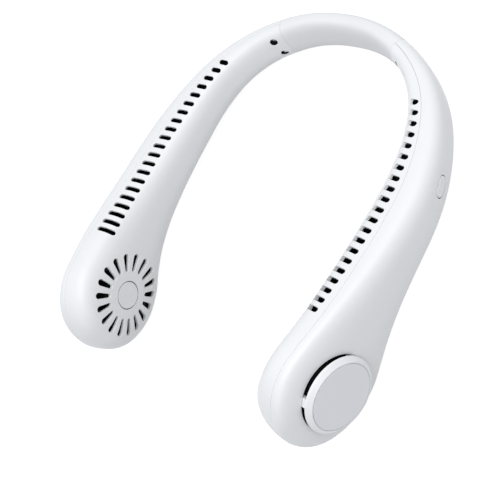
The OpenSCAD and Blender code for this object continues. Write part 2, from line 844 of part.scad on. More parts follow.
module rotor_can() {
    on_head()
        difference() {
            translate([0, 0, can_seat])
                cylinder(r = can_radius, h = can_height);
            difference() {
                translate([0, 0, can_seat + can_floor])
                    cylinder(r = can_radius - can_wall, h = can_height);
                translate([0, 0, can_seat])
                    cylinder(r = can_boss, h = tube_low - running_fit - clear - can_seat);
            }
            translate([0, 0, can_seat - overrun])
                cylinder(r = shaft_radius + screw_slip, h = can_height);
        }
}

module magnet_ring() {
    outer = can_radius - can_wall - screw_slip;
    on_head()
        washer(outer, outer - magnet_thick, can_seat + can_floor, can_rim - can_gap);
}

module stator_core() {
    low = stator_middle - stator_height / 2;
    tooth_from = (base_tube + stator_hub) / 2;
    on_head()
        difference() {
            union() {
                translate([0, 0, low])
                    cylinder(r = stator_hub, h = stator_height);
                around(tooth_count, 0)
                    translate([tooth_from, -tooth_width / 2, low])
                        cube([stator_radius - stator_shoe / 2 - tooth_from, tooth_width, stator_height]);
                around(tooth_count, 0, shoe_gap_angle / 2 - 180 / tooth_count)
                    rotate_extrude(angle = 360 / tooth_count - shoe_gap_angle)
                        translate([stator_radius - stator_shoe, low])
                            square([stator_shoe, stator_height]);
            }
            translate([0, 0, low - overrun])
                cylinder(r = base_tube + screw_slip, h = stator_height + 2 * overrun);
        }
}

module stator_coils() {
    width = 2 * (coil_inner * tan(180 / tooth_count) - clear);
    outer = sqrt(pow(stator_radius - stator_shoe - clear, 2) - pow(width / 2, 2));
    on_head()
        around(tooth_count, 0)
            difference() {
                translate([coil_inner, -width / 2, stator_middle - stator_height / 2 - coil_wrap])
                    cube([outer - coil_inner, width, stator_height + 2 * coil_wrap]);
                translate([0, -tooth_width / 2 - screw_slip, stator_middle - stator_height / 2 - screw_slip])
                    cube([stator_radius, tooth_width + 2 * screw_slip, stator_height + 2 * screw_slip]);
            }
}

// Impeller: hub cup, web, forward curved blades and a ring at each end
impeller_gap = 0.85;
hub_wall = 1;
web_thick = 1.2;
end_ring = 0.9;
end_ring_width = 1.6;
blade_steps = 5;
blade_sweep = 16;
impeller_low = pocket_floor_thick - pocket_floor + impeller_gap;
module impeller() {
    on_head() {
        difference() {
            union() {
                translate([0, 0, can_seat - web_thick])
                    cylinder(r = can_radius + hub_wall, h = can_height + web_thick);
                translate([0, 0, can_seat - web_thick])
                    cylinder(r = impeller_radius - end_ring_width / 2, h = web_thick);
                around(blade_count, 0)
                    translate([0, 0, impeller_low])
                        linear_extrude(impeller_width)
                            blade_outline();
            }
            translate([0, 0, can_seat])
                cylinder(r = can_radius + screw_slip, h = can_height);
        }
        washer(impeller_radius, impeller_radius - end_ring_width, impeller_low, impeller_low + end_ring);
        washer(impeller_radius, impeller_radius - end_ring_width,
            impeller_low + impeller_width - end_ring, impeller_low + impeller_width);
    }
}

// Outline of one blade between the eye and the rim, bent forward towards the rim
module blade_outline() {
    rim_place = impeller_radius - end_ring_width / 2;
    points = [
        for (j = [0:blade_steps])
            let (t = j / blade_steps, r = eye_radius + (rim_place - eye_radius) * t, bend = blade_sweep * t * t)
            [r * cos(bend), r * sin(bend)]
    ];
    polygon(concat(
        [for (p = points) p - [0, blade_thick / 2]],
        [for (j = [blade_steps:-1:0]) points[j] + [0, blade_thick / 2]]
    ));
}

// Rings of the duct floor: parts of each span of its table, and how far to each side its slope is taken
floor_fill = 2;
floor_look_share = 0.2;
floor_steps = [for (i = [0:len(floor_shares) - 2]) for (j = [0:floor_fill - 1]) i + j / floor_fill];
function floor_place(step) =
    let (
        i = min(len(floor_shares) - 2, floor(step)), u = step - i,
        run = floor_run(floor_shares[i][0] + u * (floor_shares[i + 1][0] - floor_shares[i][0]))
    )
    [run, floor_level(run)];
function floor_ring(step) =
    let (
        p = floor_place(step), before = floor_place(max(0, step - floor_look_share)),
        after = floor_place(min(len(floor_shares) - 1, step + floor_look_share)),
        way = (after - before) / norm(after - before),
        low = p - [-way[1], way[0]] * floor_thick / 2,
        high = p + [-way[1], way[0]] * floor_thick / 2
    ) [
        at(low[0], floor_slip - reach(low[0], -1, low[1], shell_wall), low[1]),
        at(high[0], floor_slip - reach(high[0], -1, high[1], shell_wall), high[1]),
        at(high[0], reach(high[0], 1, high[1], shell_wall) - floor_slip, high[1]),
        at(low[0], reach(low[0], 1, low[1], shell_wall) - floor_slip, low[1])
    ];
module duct_floor() {
    difference() {
        loft([for (step = concat(floor_steps, [len(floor_shares) - 1])) floor_ring(step)]);
        tube(lead_route, lead_radius + clear);
    }
}

module battery_cell() {
    on_cell() {
        cylinder(d = cell_size, h = cell_length - cell_nub_tall);
        translate([0, 0, cell_length - cell_nub_tall])
            cylinder(r = cell_nub_radius, h = cell_nub_tall);
    }
}

// Motor leads along the inner wall: distance, side and height of each point of their route
lead_radius = 0.8;
lead_route = [
    [41.2, -12, 0], [46, -12.9, -0.4], [52, -12.9, -1], [58, -12.4, -1], [63, -11.6, 0.6], [68, -11.5, 3.4],
    [74, -11.6, 5.8], [81, -11.8, 7.2], [89, -11.6, 9], [97, -11, 11], [105, -10, 13], [111, -7, 14],
    [117, -1, 12.4]
];
module motor_leads() {
    tube(lead_route, lead_radius);
}

module band_plug() {
    difference() {
        loft([
            for (i = [0:plug_steps])
                let (run = plug_run + (arm_run + plug_reach - plug_run) * i / plug_steps)
                [for (j = [0:band_sides - 1]) rim(run, 360 * j / band_sides, plug_inset)]
        ]);
        strap(core_run - clear, arm_run + plug_reach + overrun, core_thick + 2 * clear, core_height + 2 * clear);
        tube(cable_stations(plug_run - overrun, arm_run + plug_reach + overrun), cable_size / 2 + clear);
        at_recesses() {
            bar_x(screw_hole, plug_inner - overrun, plug_outer + overrun);
            bar_x(recess_size / 2, plug_inner - overrun, plug_head_seat);
        }
    }
}

module band_screws() {
    at_recesses() {
        bar_x(plug_head_radius, plug_head_seat - plug_head_tall, plug_head_seat);
        bar_x(screw_radius, plug_head_seat - root, plug_screw_end);
    }
}

// Flat strap on edge along the path, between two distances
strap_pitch = 6;
module strap(from, to, thick, tall) {
    count = ceil((to - from) / strap_pitch);
    loft([
        for (i = [0:count])
            let (run = from + (to - from) * i / count, up = middle(run))
            [
                at(run, -thick / 2, up - tall / 2), at(run, -thick / 2, up + tall / 2),
                at(run, thick / 2, up + tall / 2), at(run, thick / 2, up - tall / 2)
            ]
    ]);
}

module band_core_form() {
    strap(core_run, 2 * path_length - core_run, core_thick, core_height);
}

// Cable through the band: above the core there, and in the middle of the section inside the arms
cable_up = 6.65;
cable_pitch = 5.5;
cable_level = 2;
cable_climb = 14;
cable_drop = [plug_run - cable_level - cable_climb, plug_run - cable_level];
cable_room = 1.5;
cable_start = board_run + board_length / 2 + cable_room;
cable_tail = 5.7;
cable_end = cell_run + cell_length + cable_tail;
function cable_share(run) = let (u = (fold(run) - cable_drop[0]) / (cable_drop[1] - cable_drop[0]))
    u <= 0 ? 0 : u >= 1 ? 1 : u * u * (3 - 2 * u);
function cable_stations(from, to) =
    let (count = ceil((to - from) / cable_pitch))
    [
        for (i = [0:count])
            let (run = from + (to - from) * i / count)
            [run, 0, middle(run) + cable_up * cable_share(run)]
    ];
module band_cable_form() {
    tube(cable_stations(cable_start, 2 * path_length - cable_end), cable_size / 2);
}

module main_board_form() {
    difference() {
        on_board()
            translate([board_face - board_thick, -board_length / 2, -board_height / 2])
                cube([board_thick, board_length, board_height]);
        on_board()
            for (end = [-1, 1])
                translate([0, end * board_screw_spread / 2, -board_screw_drop])
                    bar_x(screw_hole, -overrun, board_face + overrun);
    }
}

module board_screws_form() {
    on_board()
        for (end = [-1, 1])
            translate([0, end * board_screw_spread / 2, -board_screw_drop]) {
                bar_x(board_head_radius, board_face - board_thick - board_head_tall, board_face - board_thick);
                bar_x(screw_radius, board_face - board_thick - root, board_face + board_screw_bite);
            }
}

// Power switch on the board, its plunger, and the button that presses it
switch_size = 6;
switch_tall = 3.5;
switch_well = 1.7;
plunger_radius = 1.5;
plunger_proud = 0.8;
button_lip = 0.8;
button_lip_thick = 1;
button_room = 0.8;
button_inner = button_face - shell_wall - button_room;
switch_top = board_face + switch_tall;
plunger_top = switch_top + plunger_proud;
button_stem = 1.4;
module tact_switch_form() {
    on_button()
        difference() {
            translate([-switch_size / 2, -switch_size / 2, board_face])
                cube([switch_size, switch_size, switch_tall]);
            translate([0, 0, switch_top - switch_well])
                cylinder(r = plunger_radius + clear, h = switch_well + overrun);
        }
}

module switch_plunger_form() {
    on_button()
        translate([0, 0, switch_top - switch_well + button_travel + clear])
            cylinder(r = plunger_radius, h = plunger_top - switch_top + switch_well - button_travel - clear);
}

module power_button_form() {
    on_button() {
        translate([0, 0, button_inner - root])
            pill_prism(button_length, button_width, button_face - button_inner + root);
        translate([0, 0, button_inner - button_lip_thick])
            pill_prism(button_length + 2 * button_lip, button_width + 2 * button_lip, button_lip_thick);
        translate([0, 0, plunger_top])
            cylinder(r = button_stem, h = button_inner - plunger_top);
    }
}

module usb_socket_form() {
    on_board()
        translate([usb_side, usb_along, usb_low])
            rotate(90)
                difference() {
                    pill_prism(usb_width, usb_thick, usb_deep);
                    difference() {
                        translate([0, 0, -overrun])
                            pill_prism(usb_width - 2 * usb_wall, usb_thick - 2 * usb_wall, usb_deep - usb_wall + overrun);
                        translate([-usb_width / 4, -usb_tongue / 2, usb_wall])
                            cube([usb_width / 2, usb_tongue, usb_deep]);
                    }
                }
}

shell_colour = [0.95, 0.96, 0.97];
steel_colour = [0.7, 0.72, 0.74];
board_colour = [0.1, 0.35, 0.2];

module left_inner_shell() { color(shell_colour) place(1) inner_shell(); }
module left_outer_shell() { color(shell_colour) place(1) outer_shell(true); }
module left_intake_cover() { color(shell_colour) place(1) intake_cover(); }
module left_cover_inlay() { color([0.82, 0.83, 0.85]) place(1) cover_inlay(); }
module left_side_cap() { color(shell_colour) place(1) side_cap(); }
module left_impeller() { color([0.16, 0.17, 0.18]) place(1) impeller(); }
module left_rotor_can() { color(steel_colour) place(1) rotor_can(); }
module left_magnet_ring() { color([0.25, 0.24, 0.24]) place(1) magnet_ring(); }
module left_motor_shaft() { color(steel_colour) place(1) motor_shaft(); }
module left_shaft_bearing() { color([0.72, 0.55, 0.3]) place(1) shaft_bearing(); }
module left_stator_core() { color([0.45, 0.46, 0.48]) place(1) stator_core(); }
module left_stator_coils() { color([0.75, 0.4, 0.2]) place(1) stator_coils(); }
module left_motor_board() { color(board_colour) place(1) motor_board(); }
module left_motor_base() { color([0.2, 0.2, 0.21]) place(1) motor_base(); }
module left_motor_screws() { color(steel_colour) place(1) motor_screws(); }
module left_duct_floor() { color(shell_colour) place(1) duct_floor(); }
module left_battery_cell() { color([0.2, 0.45, 0.7]) place(1) battery_cell(); }
module left_motor_leads() { color([0.15, 0.15, 0.15]) place(1) motor_leads(); }
module left_band_plug() { color([0.2, 0.2, 0.21]) place(1) band_plug(); }
module left_band_screws() { color(steel_colour) place(1) band_screws(); }
module right_inner_shell() { color(shell_colour) place(-1) inner_shell(); }
module right_outer_shell() { color(shell_colour) place(-1) outer_shell(false); }
module right_intake_cover() { color(shell_colour) place(-1) intake_cover(); }
module right_cover_inlay() { color([0.82, 0.83, 0.85]) place(-1) cover_inlay(); }
module right_side_cap() { color(shell_colour) place(-1) side_cap(); }
module right_impeller() { color([0.16, 0.17, 0.18]) place(-1) impeller(); }
module right_rotor_can() { color(steel_colour) place(-1) rotor_can(); }
module right_magnet_ring() { color([0.25, 0.24, 0.24]) place(-1) magnet_ring(); }
module right_motor_shaft() { color(steel_colour) place(-1) motor_shaft(); }
module right_shaft_bearing() { color([0.72, 0.55, 0.3]) place(-1) shaft_bearing(); }
module right_stator_core() { color([0.45, 0.46, 0.48]) place(-1) stator_core(); }
module right_stator_coils() { color([0.75, 0.4, 0.2]) place(-1) stator_coils(); }
module right_motor_board() { color(board_colour) place(-1) motor_board(); }
module right_motor_base() { color([0.2, 0.2, 0.21]) place(-1) motor_base(); }
module right_motor_screws() { color(steel_colour) place(-1) motor_screws(); }
module right_duct_floor() { color(shell_colour) place(-1) duct_floor(); }
module right_battery_cell() { color([0.2, 0.45, 0.7]) place(-1) battery_cell(); }
module right_motor_leads() { color([0.15, 0.15, 0.15]) place(-1) motor_leads(); }
module right_band_plug() { color([0.2, 0.2, 0.21]) place(-1) band_plug(); }
module right_band_screws() { color(steel_colour) place(-1) band_screws(); }
module neck_band() { color([0.88, 0.89, 0.9]) place(1) pipe(band_rings(0), band_rings(band_skin)); }
module band_core() { color(steel_colour) place(1) band_core_form(); }
module band_cable() { color([0.15, 0.15, 0.15]) place(1) band_cable_form(); }
module main_board() { color(board_colour) place(1) main_board_form(); }
module board_screws() { color(steel_colour) place(1) board_screws_form(); }
module tact_switch() { color([0.2, 0.2, 0.21]) place(1) tact_switch_form(); }
module switch_plunger() { color([0.85, 0.8, 0.6]) place(1) switch_plunger_form(); }
module power_button() { color(shell_colour) place(1) power_button_form(); }
module usb_socket() { color(steel_colour) place(1) usb_socket_form(); }

left_inner_shell();
left_outer_shell();
left_intake_cover();
left_cover_inlay();
left_side_cap();
left_impeller();
left_rotor_can();
left_magnet_ring();
left_motor_shaft();
left_shaft_bearing();
left_stator_core();
left_stator_coils();
left_motor_board();
left_motor_base();
left_motor_screws();
left_duct_floor();
left_battery_cell();
left_motor_leads();
left_band_plug();
left_band_screws();
right_inner_shell();
right_outer_shell();
right_intake_cover();
right_cover_inlay();
right_side_cap();
right_impeller();
right_rotor_can();
right_magnet_ring();
right_motor_shaft();
right_shaft_bearing();
right_stator_core();
right_stator_coils();
right_motor_board();
right_motor_base();
right_motor_screws();
right_duct_floor();
right_battery_cell();
right_motor_leads();
right_band_plug();
right_band_screws();
neck_band();
band_core();
band_cable();
main_board();
board_screws();
tact_switch();
switch_plunger();
power_button();
usb_socket();
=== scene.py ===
# %% [markdown]
# # A neck fan, dressed for the camera
#
# This fan hangs round the neck like a pair of headphones. Two hollow arms of white plastic are joined
# behind the neck by a soft band. Each arm swells into a round head, where a small blower draws air in from
# both sides and drives it along the arm and out through a row of slots.
#
# The imported model already holds every piece at its real place and size, so it is loaded first and stays as
# the fixed frame that everything here is built around.

import bpy
import numpy as np
from mathutils import Matrix, Vector


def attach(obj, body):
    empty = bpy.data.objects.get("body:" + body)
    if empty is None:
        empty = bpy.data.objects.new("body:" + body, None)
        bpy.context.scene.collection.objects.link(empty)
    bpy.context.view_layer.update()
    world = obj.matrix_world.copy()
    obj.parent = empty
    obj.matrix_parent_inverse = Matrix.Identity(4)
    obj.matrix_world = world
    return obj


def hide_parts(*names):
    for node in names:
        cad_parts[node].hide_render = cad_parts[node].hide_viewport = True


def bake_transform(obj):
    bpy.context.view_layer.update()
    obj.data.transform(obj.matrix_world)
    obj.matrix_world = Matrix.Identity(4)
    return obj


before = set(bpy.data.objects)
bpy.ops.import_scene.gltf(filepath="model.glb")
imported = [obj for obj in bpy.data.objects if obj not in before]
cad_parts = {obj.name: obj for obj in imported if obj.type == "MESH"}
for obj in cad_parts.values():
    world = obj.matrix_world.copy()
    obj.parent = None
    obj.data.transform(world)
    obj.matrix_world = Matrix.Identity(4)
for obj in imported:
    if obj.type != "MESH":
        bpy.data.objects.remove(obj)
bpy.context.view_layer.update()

# %% [markdown]
# ## The camera
#
# The picture is taken from beside the wearer's left shoulder, a little over half a metre away, through a
# longish lens, and the camera is rolled so that the fan stands on its heads. It could be parented to a
# target, but a spot, a point to look at and a roll say the same in three plain values.

# %% Set the camera
CAMERA_SPOT = (0.411916, -0.047031, 0.468744)
CAMERA_TARGET = (-0.0205, -0.02449, 0.0)
CAMERA_ROLL = -66.6645
CAMERA_LENS = 89.87


def aimed(spot, target, roll):
    """Pose that looks from spot to target with its own Z axis backwards, turned by roll about that axis."""
    turn = (Vector(target) - Vector(spot)).to_track_quat("-Z", "Y").to_matrix().to_4x4()
    return Matrix.Translation(spot) @ turn @ Matrix.Rotation(np.radians(roll), 4, "Z")


def linked(name, data):
    """New object of that name and data, put into the scene."""
    thing = bpy.data.objects.new(name, data)
    bpy.context.scene.collection.objects.link(thing)
    return thing


camera = linked("camera", bpy.data.cameras.new("camera"))
camera.data.lens = CAMERA_LENS
camera.data.clip_start = 0.01
camera.matrix_world = aimed(CAMERA_SPOT, CAMERA_TARGET, CAMERA_ROLL)
bpy.context.scene.camera = camera
print("camera at", CAMERA_SPOT)

# %% [markdown]
# ## The line of an arm
#
# Every outline follows one line, from the tip of a head along the arm to the middle of the band. It could be
# drawn as a Bezier curve, but a table of headings added up step by step gives the distance along the line
# too, and everything on the arm is placed by that distance. Lengths are in millimetres until the last step.

# %% Walk along the line
ARM_SPREAD, FRAME_LENGTH = 185.0, 200.0
HEAD_RADIUS, NOSE_RADIUS = 30.0, 14.0
INNER_DEPTH, OUTER_DEPTH = 15.4, 11.4
BAND_HEIGHT, BAND_THICK, BAND_RISE, TOP_DIP = 20.5, 10.0, 4.1, 3.2
ARM_RUN, TOE_IN = 203.0, 9.5
HEADINGS = (
    [0, 0.182, 0.223, 0.27, 0.33, 0.41, 0.46, 0.52, 0.585, 0.65, 0.72, 0.81, 0.9, 1],
    [TOE_IN, TOE_IN, TOE_IN / 3, TOE_IN / 8, 0.6, -0.6, -3, -9.3, -16.5, -26.5, -42.5, -60.5, -75, -90])
LINE_STEPS = 1000


def walked():
    """Points of the line, and the distance at each: unit steps along the headings, added up and then
    stretched so that the line reaches the fan's real width and length."""
    share = (np.arange(LINE_STEPS) + 0.5) / LINE_STEPS
    turn = np.radians(np.interp(share, *HEADINGS))
    unit = np.vstack([[0, 0], np.cumsum(np.c_[np.sin(turn), np.cos(turn)], axis=0)])
    end = unit[-1]
    wide = (ARM_SPREAD / 2 - OUTER_DEPTH) / (unit[:, 0].max() - end[0])
    line = np.c_[(unit[:, 0] - end[0]) * wide, unit[:, 1] * (FRAME_LENGTH - BAND_THICK / 2) / end[1]]
    return line, np.r_[0, np.cumsum(np.hypot(*np.diff(line, axis=0).T))]


LINE, RUNS = walked()
LINE_LENGTH = RUNS[-1]
LINE_TURN = np.arctan2(*np.diff(LINE, axis=0).T)


def turn_at(run):
    """Heading of the line at a distance, in radians from straight back towards the outside."""
    return np.interp(run, (RUNS[1:] + RUNS[:-1]) / 2, LINE_TURN)


def on_line(run):
    """Place on the line at a distance."""
    return np.interp(run, RUNS, LINE[:, 0]), np.interp(run, RUNS, LINE[:, 1])


def one_way(run):
    """Distance that counts back along the other arm, past the middle of the band."""
    return np.minimum(run, 2 * LINE_LENGTH - run)


def beside(run, side, up):
    """Points beside the line: side millimetres away from the neck and up millimetres above the head's
    centre."""
    run, side, up = np.broadcast_arrays(*(np.asarray(v, float) for v in (run, side, up)))
    turn = turn_at(one_way(run))
    x, y = on_line(one_way(run))
    x, y = x + side * np.cos(turn), y - side * np.sin(turn)
    return np.stack([np.where(run > LINE_LENGTH, -x, x), y, up], axis=-1)


print("line length:", round(LINE_LENGTH, 2), "mm")

# %% [markdown]
# ## The section of an arm
#
# Across the line, an arm is a rounded box: a superellipse, which lies between an ellipse and a rectangle.
# Its height and its two depths change along the line, high and deep at the head, and low and thin at the
# band. Each is a short table, and a smooth curve through its entries gives the values between them.

# %% Section along the line
SHARES = [0, 0.066, 0.113, 0.17, 0.24, 0.321, 0.396, 0.458, 0.524, 0.6, 0.684, 0.783, 0.892, 1]
FEWER = SHARES[:-2] + SHARES[-1:]
HEIGHTS = FEWER, [1, 0.903, 0.728, 0.528, 0.359, 0.249, 0.187, 0.146, 0.097, 0.054, 0.015, 0, 0]
DIPS = FEWER, [0, 0.05, 0.25, 0.56, 0.84, 1, 1, 0.88, 0.66, 0.35, 0.1, 0, 0]
RISES = [0, 0.458, 0.6, 0.684, 0.783, 0.892, 1], [0, 0, 0.12, 0.3, 0.66, 1, 1]
INNER_DEPTHS = SHARES, [1, 1.02, 1.04, 1.03, 1.01, 0.97, 0.9, 0.8, 0.64, 0.45, 0.27, 0.11, 0, 0]
OUTER_DEPTHS = SHARES, [0.4, 0.42, 0.5, 0.67, 0.83, 0.95, 1, 0.95, 0.83, 0.61, 0.34, 0.11, 0, 0]
TOP_POWER, BOTTOM_POWER, BAND_POWER, NOSE_POWER = 3.6, 2.6, 2.9, 2.4


def eased(table, t):
    """Value of a table at t: a cubic between two entries, whose slope at each is that of the line between
    the entries beside it, and which is level at both ends."""
    x, y = np.array(table, float)
    slope = np.zeros(len(x))
    slope[1:-1] = (y[2:] - y[:-2]) / (x[2:] - x[:-2])
    i = np.clip(np.searchsorted(x, t, side="right") - 1, 0, len(x) - 2)
    w = x[i + 1] - x[i]
    u = (t - x[i]) / w
    rise = y[i] * (1 + 2 * u) * (1 - u) ** 2 + y[i + 1] * u * u * (3 - 2 * u)
    return rise + w * u * (1 - u) * (slope[i] * (1 - u) - slope[i + 1] * u)


def share_of(run):
    """Share of the way from a head's centre to the middle of the band."""
    return np.maximum(0, (one_way(run) - HEAD_RADIUS) / (LINE_LENGTH - HEAD_RADIUS))


def height_at(run):
    """Full height of the section: the band's, and a share of what the head has more."""
    return BAND_HEIGHT + (2 * HEAD_RADIUS - BAND_HEIGHT) * eased(HEIGHTS, share_of(run))


def middle_at(run):
    """Height of the section's middle: its top line, which dips and then rises, less half its height."""
    t = share_of(run)
    top = HEAD_RADIUS - TOP_DIP * eased(DIPS, t) + BAND_RISE * eased(RISES, t)
    return np.where(run < HEAD_RADIUS, 0, top - height_at(run) / 2)


def half_height(run, inset=0.0):
    """Half the section's height: a circle's round the head's nose, and the table's behind it."""
    round_head = np.sqrt(np.maximum(0, (HEAD_RADIUS - inset) ** 2 - (HEAD_RADIUS - run) ** 2))
    return np.where(run < HEAD_RADIUS, round_head, height_at(run) / 2 - inset)


def half_depth(run, side, inset=0.0):
    """Depth of the section on one side of the line, rounded off towards the head's tip."""
    t = share_of(run)
    inner = BAND_THICK / 2 + (INNER_DEPTH - BAND_THICK / 2) * eased(INNER_DEPTHS, t)
    outer = BAND_THICK / 2 + (OUTER_DEPTH - BAND_THICK / 2) * eased(OUTER_DEPTHS, t)
    past = np.clip((NOSE_RADIUS - run) / (NOSE_RADIUS - inset), 0, 1)
    nose = (1 - past ** NOSE_POWER) ** (1 / NOSE_POWER)
    return (np.where(side < 0, inner, outer) - inset) * nose


def power_at(run, above):
    """Power of the superellipse, for a point that far above the middle. A head is boxy above it and rounder
    below, and both come to the band's power along the arm."""
    head = np.where(above > 0, TOP_POWER, BOTTOM_POWER)
    return head + (BAND_POWER - head) * share_of(run)


def skin(run, angle, inset=0.0):
    """Point of the skin at a distance along the line and an angle from the top, positive away from the
    neck: the direction (sin, cos) is lengthened until it meets |x|^p + |y|^p = 1, and then stretched by
    the section's depth and half height."""
    s, c = np.sin(angle), np.cos(angle)
    p = power_at(run, c)
    reach = (np.abs(s) ** p + np.abs(c) ** p) ** (-1 / p)
    across = half_depth(run, s, inset) * s * reach
    return beside(run, across, middle_at(run) + half_height(run, inset) * c * reach)


print("head:", height_at(HEAD_RADIUS), "mm high, band:", height_at(LINE_LENGTH), "mm high")

# %% [markdown]
# ## From the arm's frame to the model's
#
# The tables describe an arm lying level. The real fan stands on its two heads and its band, so the model is
# tipped forwards by a small angle, and its footprint is centred. The right arm is the left one mirrored.
# Doing this as the last step keeps every formula above free of it.

# %% Stand the fan up
REST_TILT, REST_MIDDLE, REST_FLOOR = np.radians(14.9033), 99.6909, -37.2814
MM = 0.001


def tipped(ways, side=1):
    """Directions of the arm's frame in the model's: mirrored for the right arm, then turned about X."""
    x, y, z = np.moveaxis(np.asarray(ways, float), -1, 0)
    c, s = np.cos(REST_TILT), np.sin(REST_TILT)
    return np.stack([side * x, y * c + z * s, z * c - y * s], axis=-1)


def stood(points, side=1):
    """Points of the arm's frame where they stand in the model, in metres."""
    return (tipped(points, side) - [0, REST_MIDDLE, REST_FLOOR]) * MM


print("head's centre:", stood(beside(HEAD_RADIUS, 0, 0)).round(4))

# %% [markdown]
# ## Sheets and meshes
#
# Every piece below is made of sheets. A sheet is a grid of points with a normal at each, worked out from a
# formula in one go. The sheets of a piece share their border points, so welding them gives one closed mesh.
# The normals are kept on the face corners: they come from the formula and are smoother than Blender's
# averages, above all beside a cut.

# %% Weld sheets into a mesh
WELD, TINY = 1e-5, 1e-12
LEAN = "lean"


def unit(v):
    """Vectors of length one."""
    return v / np.maximum(np.linalg.norm(v, axis=-1, keepdims=True), TINY)


def quads(grid):
    """Corners of a grid's squares, four to a square."""
    return np.stack([grid[:-1, :-1], grid[1:, :-1], grid[1:, 1:], grid[:-1, 1:]], axis=2).reshape(-1, 4, 3)


def welded(sheets, facing=1):
    """Points, corner numbers, corners per face and corner normals of sheets joined into one mesh. Each
    square faces its normals, or away from them where facing is -1. Corners that fall together become one,
    and a square that loses a corner so becomes a triangle."""
    corner = np.concatenate([quads(points) for points, _ in sheets])
    lean = np.concatenate([quads(np.broadcast_to(normals, points.shape)) for points, normals in sheets])
    front = np.cross(corner[:, 2] - corner[:, 0], corner[:, 3] - corner[:, 1])
    wrong = (front * lean.sum(1)).sum(-1) * facing < 0
    corner[wrong], lean[wrong] = corner[wrong, ::-1], lean[wrong, ::-1]
    flat = corner.reshape(-1, 3)
    _, first, number = np.unique(np.round(flat / WELD).astype(np.int64), axis=0, return_index=True,
                                 return_inverse=True)
    number = number.reshape(-1, 4)
    kept = number != np.roll(number, 1, axis=1)
    kept &= (kept.sum(1) >= 3)[:, None]
    count = kept.sum(1)
    return flat[first], number[kept], count[count > 0], lean[kept]


def built(name, points, corners, counts, leans):
    """Mesh object from arrays, smooth, with its corner normals kept as an attribute."""
    mesh = bpy.data.meshes.new(name)
    for data, key, values, kind in (
            (mesh.vertices, "co", points, "f"), (mesh.loops, "vertex_index", corners, "i"),
            (mesh.polygons, "loop_start", np.cumsum(counts) - counts, "i")):
        data.add(len(values))
        data.foreach_set(key, np.asarray(values, kind).ravel())
    mesh.update(calc_edges=True)
    mesh.polygons.foreach_set("use_smooth", np.ones(len(counts), bool))
    kept = mesh.attributes.new(LEAN, "FLOAT_VECTOR", "CORNER")
    kept.data.foreach_set("vector", leans.astype(np.float32).ravel())
    return linked(name, mesh)


def taken(thing):
    """The arrays that `built` takes, read back from a mesh. The object itself has done its work and goes."""
    mesh, arrays = thing.data, []
    for data, key, kind in ((mesh.vertices, "co", "f"), (mesh.loops, "vertex_index", "i"),
                            (mesh.polygons, "loop_total", "i"), (mesh.attributes[LEAN].data, "vector", "f")):
        arrays.append(np.empty((len(data), 3) if kind == "f" else len(data), kind))
        data.foreach_get(key, arrays[-1].ravel())
    bpy.data.objects.remove(thing)
    return arrays


def carved(thing, cutters, operation="DIFFERENCE"):
    """The thing with the cutters taken away or added, and its corner normals carried over the cut."""
    for tool in cutters:
        change = thing.modifiers.new("cut", "BOOLEAN")
        change.solver, change.operation, change.object = "MANIFOLD", operation, tool
    after = bpy.data.meshes.new_from_object(thing.evaluated_get(bpy.context.evaluated_depsgraph_get()))
    name = thing.name
    for old in [thing, *cutters]:
        bpy.data.objects.remove(old)
    return linked(name, after)


print("sheets can be welded")

# %% [markdown]
# ## The half shells
#
# Each arm is two mouldings that meet along the line, an inner one towards the neck and an outer one. A cage
# under a subdivision surface could give their shape, but the formula for the skin is exact, so each half is
# a grid over distance and angle, with an inner skin one wall further in. Where the halves meet, and where
# the band begins, the edge is broken by a hair, which makes the fine line of the real fan.

# %% Grids over the skin
WALL = 1.6
RING_STEP = np.pi / 2 * HEAD_RADIUS
NOSE_RINGS, ARM_RINGS, SIDE_COLUMNS = 34, 128, 56
SEAM_GAP = 0.05
BREAK_WIDE, BREAK_DEEP = np.array([0, 0.12, 0.26]), np.array([0.14, 0.045, 0])
BREAK_LEAN = np.array([1.0, 0.7, 0.0])
END_SHARE, TIP_RUN, NUDGE = 0.35, 0.5, 0.01
EDGE_DEPTH, EDGE_ANGLES = 0.4, [0.03, 0.1, 0.2]


def ring_run(w, inset=0.0):
    """Distance of ring w: a cosine from the tip to the head's centre, so that rings lie evenly round the
    nose, and equal steps behind it."""
    return np.where(w < 1, HEAD_RADIUS - (HEAD_RADIUS - inset) * np.cos(np.pi / 2 * np.minimum(w, 1)),
                    HEAD_RADIUS + (w - 1) * RING_STEP)


def skin_normals(w, angle, inset=0.0, dw=0.02, place=ring_run):
    """Unit normals of the skin, from the cross product of its slopes along and across, facing away from
    the section's middle. Place gives the distance along the line of ring w."""
    run = place(w, inset)
    along = skin(place(w + dw, inset), angle, inset) - skin(place(np.abs(w - dw), inset), angle, inset)
    across = skin(run, angle + NUDGE, inset) - skin(run, angle - NUDGE, inset)
    normal = unit(np.cross(along, across))
    away = skin(run, angle, inset) - beside(run, 0, middle_at(run))
    return normal * np.sign((normal * away).sum(-1, keepdims=True) + TINY)


